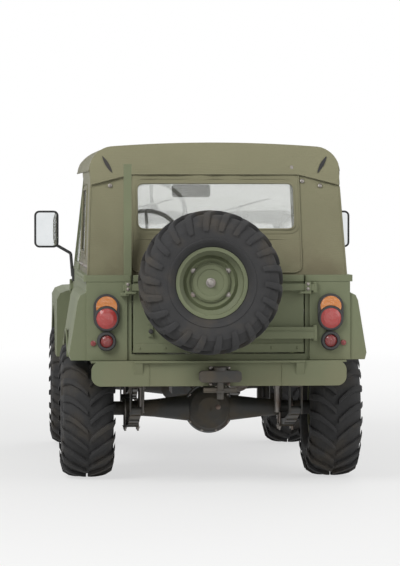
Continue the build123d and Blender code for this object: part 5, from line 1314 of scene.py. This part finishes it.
class CAR_OT_rear_fittings(bpy.types.Operator):
    """Adds brackets, bolts and screws to the rear door, the carrier, the bumper, the hitch and the springs"""

    bl_idname = "car.rear_fittings"
    bl_label = "Fit the Rear"

    def execute(self, context):
        self.carrier()
        self.door()
        self.bumper()
        for axle, spring_x, tube_r in SPRING_LOOPS:
            self.spring_loops(axle, spring_x, tube_r)
        self.gear_case()
        return {"FINISHED"}

    def carrier(self):
        """The upper bar's brackets with their bolts, and the rib along the lower bar."""
        low, high = UPPER_BAR_LOW, UPPER_BAR_HIGH
        for side, inner, outer in BAR_BRACKETS:
            near, far = sorted((side * inner, side * outer))
            foot_near, foot_far = sorted((side * (inner - 0.03), side * outer))
            plates = [block("bracket", (near, BAR_FACE - 0.007, low), (far, BAR_FACE + 0.001, high),
                            BRACKET_EDGE),
                      block("bracket_foot", (foot_near, BAR_FACE - 0.012, low - 0.004),
                            (foot_far, BAR_FACE, low + 0.01), BRACKET_EDGE)]
            dress(joined("bar_bracket", plates), "rear_door", "paint")
            places = [((near + far) / 2, BAR_FACE - 0.007, z) for z in (low + 0.024, high - 0.014)]
            bolts = repeated("bracket_bolts", hexagon(*SMALL_BOLT), places, BACKWARD)
            dress(bolts, "rear_door", "bare_steel")
        rib = block("bar_rib", (RIB_LEFT, BAR_FACE - 0.0045, RIB_Z - RIB_HALF),
                    (RIB_RIGHT, BAR_FACE + 0.001, RIB_Z + RIB_HALF), 0.002)
        dress(rib, "rear_door", "paint")

    def door(self):
        """Screws along the door's lower lip, and the latch's knob."""
        places = [(x, REAR_FACE - 0.0138, REAR_DOOR_LOW.z + 0.026) for x in LIP_SCREW_X]
        dress(screws("door_lip_screws", places, BACKWARD, LIP_SCREW_R), "rear_door", "paint")
        knob = turned("latch_knob", LATCH_KNOB, (LATCH_X, REAR_FACE - 0.019, LATCH_Z), "-Y", 24)
        dress(knob, "rear_door", "black_plastic")

    def bumper(self):
        """Seams of the bumper's end pieces, and the bolts of the hitch."""
        for x in BUMPER_SEAM_X:
            bead = tube("bumper_seam", [(x, BUMPER_FACE - 0.0005, z) for z in BUMPER_SEAM_Z], BUMPER_SEAM_R)
            dress(bead, "chassis", "paint")
        places = [(x, BUMPER_FACE - 0.0145, HITCH_Z + up) for x in (-HITCH_BOLT_X, HITCH_BOLT_X)
                  for up in (-HITCH_BOLT_Z, HITCH_BOLT_Z)]
        bolts = repeated("hitch_bolts", hexagon(*HITCH_BOLT), places, BACKWARD)
        dress(bolts, "chassis", "bare_steel")

    def spring_loops(self, axle, spring_x, tube_r):
        """Round loops that hold an axle on its springs, with their nuts below the plates."""
        middle_y = wheel_centre(f"tyre_{axle}_left").y
        foot = SPRING_PLATE_Z - LEG_PAST_PLATE
        turns = [math.pi * step / LOOP_STEPS for step in range(LOOP_STEPS + 1)]
        over = [(middle_y - tube_r * math.cos(turn), AXLE_Z + tube_r * math.sin(turn)) for turn in turns]
        legs = (middle_y - tube_r, middle_y + tube_r)
        outline = [(legs[0], foot)] + over + [(legs[1], foot)]
        across = [side * spring_x + aside for side in (-1, 1) for aside in (-LEG_ASIDE, LEG_ASIDE)]
        bar = tube("loop", [(0, y, z) for y, z in outline], LEG_R)
        loops = repeated("loops", bar, [(x, 0, 0) for x in across])
        places = [(x, y, SPRING_PLATE_Z + 0.0005) for x in across for y in legs]
        nuts = repeated("spring_nuts", hexagon(*SPRING_NUT), places, DOWNWARD)
        dress(joined(f"spring_loops_{axle}", [loops, nuts]), "chassis", "bare_steel")

    def gear_case(self):
        """The flange of the rear axle's gear case, its bolts and its filler plug."""
        rear = wheel_centre("tyre_rear_left").y
        flange = turned("gear_case_flange", CASE_FLANGE, (0, rear - 0.028, AXLE_Z), "-Y", 64)
        dress(flange, "chassis", "cast_metal")
        places = []
        for index in range(CASE_BOLTS):
            angle = math.tau * (index + 0.5) / CASE_BOLTS
            x, z = CASE_BOLT_R * math.sin(angle), AXLE_Z + CASE_BOLT_R * math.cos(angle)
            places.append((x, rear - 0.0405, z))
        bolts = repeated("case_bolts", hexagon(*SMALL_BOLT), places, BACKWARD)
        place = (0.05, rear - 0.1175, AXLE_Z + 0.012)
        plug = repeated("case_plug", hexagon(*CASE_PLUG), [place], BACKWARD)
        dress(joined("gear_case_bolts", [bolts, plug]), "chassis", "bare_steel")


# Fittings on the body
SCREEN_SLOPE = math.tan(math.radians(11))
MIRROR_HALF_X, MIRROR_HALF_Z, MIRROR_CORNER = 0.068, 0.109, 0.026
MIRROR_SEAL_R = 0.0035
ARCH_LIP_R, ARCH_STEPS = 0.0065, 40
CATCH_Y, CATCH_HALF = 1.24, 0.03
CATCH_STRAP_R, CATCH_GRIP_R = 0.0085, 0.007
BONNET_SEAL_R, BONNET_SEAL_STEPS = 0.0027, 10
FRONT_SEAL_R, REAR_SEAL_R = 0.0085, 0.007
CAPPING_SCREWS, CAPPING_SCREW_PITCH, CAPPING_SCREW_R = 6, 0.23, 0.0075
CORE_HALF, CORE_DEEP = 0.41, 0.05
CORE_LOW, CORE_HIGH = 0.73, 1.07
FINS, FIN_PITCH, FIN_THICK = 16, 0.02, 0.004
INNER_WING_X = (0.4, 0.404)
INNER_WING_LOW, INNER_WING_HIGH = 0.702, 1.07
WIPER_X = (-0.52, 0.1)
WIPER_BOSS = [(-0.012, 0), (-0.012, 0.013), (0.008, 0.013), (0.012, 0.009), (0.012, 0)]
WIPER_REACH, WIPER_RISE = 0.2, 0.19
WIPER_ARM_R, WIPER_BLADE_R = 0.0045, 0.0055
BLADE_HALF = Vector((0.165, 0, 0.045))

# Rings of a mirror's glass: share of its outline, and depth from its back
MIRROR_RINGS = ((1.0, 0.0), (1.0, 0.002), (0.97, 0.0024), (0.5, 0.0024), (0.02, 0.0024))

# Wheel arches: axle, the node that the arch is cut in, room round the tyre, and height of the lip's ends
ARCHES = (("rear", "body_sides", 0.065, 0.75), ("front", "front_fenders", 0.13, 0.645))


def screen_y(height):
    """The windscreen's front face at a height."""
    low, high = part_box("windscreen_frame")
    return high.y - (height - low.z) * SCREEN_SLOPE


class CAR_OT_body_fittings(bpy.types.Operator):
    """Adds mirror glass, wipers, seals, arch lips, bonnet catches and closing plates to the body"""

    bl_idname = "car.body_fittings"
    bl_label = "Fit the Body"

    def execute(self, context):
        for side in (-1, 1):
            self.mirror(side)
            self.arch_lips(side)
            self.bonnet_catch(side)
            self.bonnet_seal(side)
            self.door_seals(side)
            self.inner_wing(side)
            self.capping_screws(side)
        self.wipers()
        self.radiator()
        self.apron()
        return {"FINISHED"}

    def mirror(self, side):
        """The glass of a door mirror, and the seal round it."""
        door = f"door_{hand(side)}"
        low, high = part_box(f"mirror_{hand(side)}")
        outer = high.x if side > 0 else low.x
        centre = Vector((outer - side * 0.079, low.y + 0.008, high.z - 0.12))
        outline = rounded(rectangle(MIRROR_HALF_X, -MIRROR_HALF_Z, MIRROR_HALF_Z), MIRROR_CORNER)
        rings = [[centre + Vector((point.x * share, 0.001 - depth, point.y * share)) for point in outline]
                 for share, depth in MIRROR_RINGS]
        glass = welded(grid(f"mirror_glass_{hand(side)}", rings, closed=True))
        dress(smooth(glass, 30.0), door, "glass", "mirror")
        line = [centre + Vector((point.x * 1.02, -0.001, point.y * 1.015)) for point in loop_line(outline)]
        dress(tube(f"mirror_seal_{hand(side)}", line, MIRROR_SEAL_R), door, "rubber")

    def arch_lips(self, side):
        """Rolled lips round the wheel arches."""
        for axle, panel, room, foot in ARCHES:
            x = side * (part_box(panel)[1].x - 0.003)
            centre = wheel_centre(f"tyre_{axle}_left")
            radius = TYRE_R + room
            start = math.asin((foot - centre.z) / radius)
            sweep = math.pi - 2 * start
            turns = [start + sweep * step / ARCH_STEPS for step in range(ARCH_STEPS + 1)]
            line = [(x, centre.y + radius * math.cos(turn), centre.z + radius * math.sin(turn))
                    for turn in turns]
            dress(tube(f"{axle}_arch_lip", line, ARCH_LIP_R), "chassis", "paint")

    def bonnet_catch(self, side):
        """A rubber catch beside the bonnet: its foot, its strap and its grip."""
        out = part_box("bonnet")[1].x + 0.002
        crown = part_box("front_fenders")[1].z
        near, far = sorted((side * out, side * (out + 0.03)))
        foot = block("catch_foot", (near, CATCH_Y - CATCH_HALF, crown - 0.004),
                     (far, CATCH_Y + CATCH_HALF, crown + 0.008))
        x = side * (out + 0.013)
        line = [(x, CATCH_Y, crown + rise) for rise in (0.004, 0.03, 0.058)]
        strap = tube("catch_strap", line, CATCH_STRAP_R)
        ends = ((-0.018, 0.055), (0.0, 0.058), (0.018, 0.055))
        line = [(x, CATCH_Y + along, crown + rise) for along, rise in ends]
        grip = tube("catch_grip", line, CATCH_GRIP_R)
        dress(joined("bonnet_catch", [foot, strap, grip]), "chassis", "rubber")

    def bonnet_seal(self, side):
        """The rubber strip under a side edge of the bonnet."""
        low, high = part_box("bonnet")
        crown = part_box("front_fenders")[1].z
        x = side * (high.x - 0.012)
        length = high.y - low.y - 0.1
        steps = range(BONNET_SEAL_STEPS + 1)
        line = [(x, low.y + 0.06 + length * step / BONNET_SEAL_STEPS, crown + 0.003) for step in steps]
        dress(tube("bonnet_seal", line, BONNET_SEAL_R), "chassis", "rubber")

    def door_seals(self, side):
        """Rubber strips in front of and behind a side door."""
        low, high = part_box("door_right")
        foot_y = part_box("windscreen_frame")[1].y - 0.0425
        front, behind = [], []
        for share in (0.0, 0.5, 1.0):
            rise = (high.z - BELT) * share
            z = BELT + 0.004 + rise
            front.append((side * (0.748 - 0.058 * share), foot_y - rise * SCREEN_SLOPE, z))
            behind.append((side * (0.75 - 0.04 * share), low.y - 0.0078, z))
        for name, line, radius in (("front", front, FRONT_SEAL_R), ("rear", behind, REAR_SEAL_R)):
            dress(tube(f"door_seal_{name}", line, radius), "chassis", "rubber")

    def inner_wing(self, side):
        """The plate between the engine and a front wheel."""
        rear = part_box("bonnet")[0].y + 0.03
        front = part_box("grille_panel")[0].y - 0.09
        near, far = sorted(side * x for x in INNER_WING_X)
        plate = block("inner_wing", (near, rear, INNER_WING_LOW), (far, front, INNER_WING_HIGH), 0.0)
        dress(plate, "chassis", "paint")

    def capping_screws(self, side):
        """Screws along the capping of a body side."""
        x = side * (CAPPING_HIGH.x - 0.0005)
        rear = CAPPING_LOW.y + 0.1
        places = [(x, rear + CAPPING_SCREW_PITCH * step, BELT - 0.019) for step in range(CAPPING_SCREWS)]
        dress(screws("capping_screws", places, (side, 0, 0), CAPPING_SCREW_R), "chassis", "paint")

    def wipers(self):
        """Two wipers that lie on the windscreen's foot."""
        low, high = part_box("windscreen_frame")
        tip_z = low.z + WIPER_RISE
        for x in WIPER_X:
            pivot = Vector((x, high.y + 0.006, low.z + 0.03))
            tip = Vector((x + WIPER_REACH, screen_y(tip_z) + 0.012, tip_z))
            arm = [pivot, pivot.lerp(tip, 0.5) + Vector((0, 0.012, 0)), tip]
            boss = turned("wiper_boss", WIPER_BOSS, pivot, "Y", 20)
            dress(joined("wiper_arm", [tube("arm", arm, WIPER_ARM_R), boss]), "chassis", "black_plastic")
            ends = (tip - BLADE_HALF, tip, tip + BLADE_HALF)
            blade = [Vector((end.x, screen_y(end.z) + 0.006, end.z)) for end in ends]
            dress(tube("wiper_blade", blade, WIPER_BLADE_R), "chassis", "rubber")

    def radiator(self):
        """The finned core behind the grille."""
        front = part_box("grille_panel")[0].y - 0.03
        rear = front - CORE_DEEP
        pieces = [block("core", (-CORE_HALF, rear, CORE_LOW), (CORE_HALF, front - 0.012, CORE_HIGH), 0.004)]
        for side in (-1, 1):
            near, far = sorted((side * CORE_HALF, side * (CORE_HALF + 0.03)))
            low, high = (near, rear - 0.01, CORE_LOW - 0.01), (far, front, CORE_HIGH)
            pieces.append(block("core_side", low, high, 0.004))
        z = CORE_LOW + FIN_PITCH
        fin = block("fin", (-CORE_HALF, front - 0.014, z), (CORE_HALF, front - 0.002, z + FIN_THICK), 0.0)
        pieces.append(repeated("fins", fin, [(0, 0, FIN_PITCH * step) for step in range(FINS)]))
        dress(joined("radiator", pieces), "chassis", "chassis_paint")

    def apron(self):
        """The plate that closes the gap between the grille and the bumper."""
        grille_low, grille_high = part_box("grille_panel")
        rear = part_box("front_bumper")[0].y
        half, top = grille_high.x - 0.09, grille_low.z + 0.0035
        face = block("apron_face", (-half, rear + 0.003, top - 0.06), (half, rear + 0.017, top), 0.002)
        shelf = block("apron_top", (-half, grille_high.y + 0.002, top - 0.003),
                      (half, rear + 0.016, top), 0.0)
        dress(joined("front_apron", [face, shelf]), "chassis", "paint")


# Stage
CAMERA_PLACE = (-1.401, -18.27, 1.681)
CAMERA_YAW, CAMERA_PITCH = 0.0779, 0.0293
FOCAL_PIXELS = 2860
FRAME_TALL = 566
SENSOR = 36.0
FLOOR_R = 60.0
FLOOR_WHITE = 0.62
SKY_STRENGTH = 0.36

# Lamps: name, place, what it points at, size and power
LAMPS = (("key", (-5.5, -8.0, 7.5), (0, -1, 0.8), 5.0, 640),
         ("fill", (7.5, -6.5, 4.5), (0, 0, 0.9), 6.0, 250),
         ("front", (3.5, 9.0, 6.0), (0, 0, 0.9), 6.0, 300))


def in_view(tree):
    """1 for the rays that show the background: straight, mirrored or through glass."""
    node = tree.nodes.new("ShaderNodeLightPath")
    rays = [Value(tree, node.outputs[f"Is {kind} Ray"]) for kind in ("Camera", "Glossy", "Transmission")]
    return rays[0].high(rays[1]).high(rays[2])


def lamp(name, place, target, size, power):
    """A large soft area lamp that points at a target."""
    light = bpy.data.lights.new(name, "AREA")
    light.shape = "DISK"
    light.size = size
    light.energy = power
    holder = bpy.data.objects.new(name, light)
    bpy.context.scene.collection.objects.link(holder)
    holder.location = place
    holder.rotation_euler = (Vector(target) - Vector(place)).to_track_quat("-Z", "Y").to_euler()


class CAR_OT_stage(bpy.types.Operator):
    """Sets the camera at the drawing's view, a pale floor and soft studio light"""

    bl_idname = "car.stage"
    bl_label = "Set the Stage"

    def execute(self, context):
        scene = context.scene
        camera = bpy.data.cameras.new("camera")
        camera.lens = FOCAL_PIXELS / FRAME_TALL * SENSOR
        camera.sensor_width = SENSOR
        camera.clip_end = 200.0
        holder = bpy.data.objects.new("camera", camera)
        scene.collection.objects.link(holder)
        holder.location = CAMERA_PLACE
        holder.rotation_euler = (math.pi / 2 - CAMERA_PITCH, 0, -CAMERA_YAW)
        scene.camera = holder
        scene.view_settings.view_transform = "Standard"
        self.floor(scene.car_colours.floor)
        self.world(scene)
        for row in LAMPS:
            lamp(*row)
        return {"FINISHED"}

    def floor(self, colour):
        """A pale floor that turns white away from the car and keeps its shadow."""
        deselect()
        bpy.ops.mesh.primitive_circle_add(vertices=64, radius=FLOOR_R, fill_type="NGON")
        floor = named("floor")
        finish = Finish("pale_floor")
        mottle = finish.noise(0.6, 3.0)
        shade = finish.mix(mottle, tone(colour, 0.98), tone(colour, 1.02))
        away = finish.node("ShaderNodeVectorMath", {"operation": "LENGTH"}, Vector=finish.place, out="Value")
        whiteness = finish.steps(away, 2.5, 14.0) * (1.0 - FLOOR_WHITE) + FLOOR_WHITE
        finish.set(Base_Color=shade, Roughness=0.9, Specular_IOR_Level=0.2)
        glow = finish.node("ShaderNodeEmission", out="Emission")
        white = in_view(finish.tree) * whiteness
        blend = finish.node("ShaderNodeMixShader", Fac=white, out="Shader").socket.node
        finish.tree.links.new(finish.shader.outputs["BSDF"], blend.inputs[1])
        finish.tree.links.new(glow.socket, blend.inputs[2])
        finish.tree.links.new(blend.outputs["Shader"], finish.tree.nodes["Material Output"].inputs["Surface"])
        floor.data.materials.append(finish.material)

    def world(self, scene):
        """White where it is seen, and a dimmer even light on the car."""
        world = bpy.data.worlds.new("studio")
        scene.world = world
        world.use_nodes = True
        tree = world.node_tree
        background = tree.nodes["Background"]
        background.inputs["Color"].default_value = (1.0, 1.0, 1.0, 1.0)
        feed(tree, background.inputs["Strength"], in_view(tree) * (1.0 - SKY_STRENGTH) + SKY_STRENGTH)


class CAR_PT_panel(bpy.types.Panel):
    """Lists the steps that dress the car."""

    bl_idname = "CAR_PT_panel"
    bl_label = "Army Car"
    bl_space_type = "VIEW_3D"
    bl_region_type = "UI"
    bl_category = "Car"

    def draw(self, context):
        for step in STEPS:
            self.layout.operator(step.bl_idname)
        for group in (context.scene.car_colours, context.scene.car_sizes):
            for name in group.__annotations__:
                self.layout.prop(group, name)


STEPS = (CAR_OT_finish_solids, CAR_OT_tyres, CAR_OT_wheel_fittings, CAR_OT_canvas, CAR_OT_seats,
         CAR_OT_rear_fittings, CAR_OT_body_fittings, CAR_OT_stage)
CLASSES = (CarColours, CarSizes, *STEPS, CAR_PT_panel)


def register():
    for kind in CLASSES:
        bpy.utils.register_class(kind)
    bpy.types.Scene.car_colours = bpy.props.PointerProperty(type=CarColours)
    bpy.types.Scene.car_sizes = bpy.props.PointerProperty(type=CarSizes)


def unregister():
    del bpy.types.Scene.car_sizes
    del bpy.types.Scene.car_colours
    for kind in reversed(CLASSES):
        bpy.utils.unregister_class(kind)


def main():
    """Dresses the car step by step."""
    register()
    for step in STEPS:
        group, action = step.bl_idname.split(".")
        getattr(getattr(bpy.ops, group), action)()


if __name__ == "__main__":
    main()
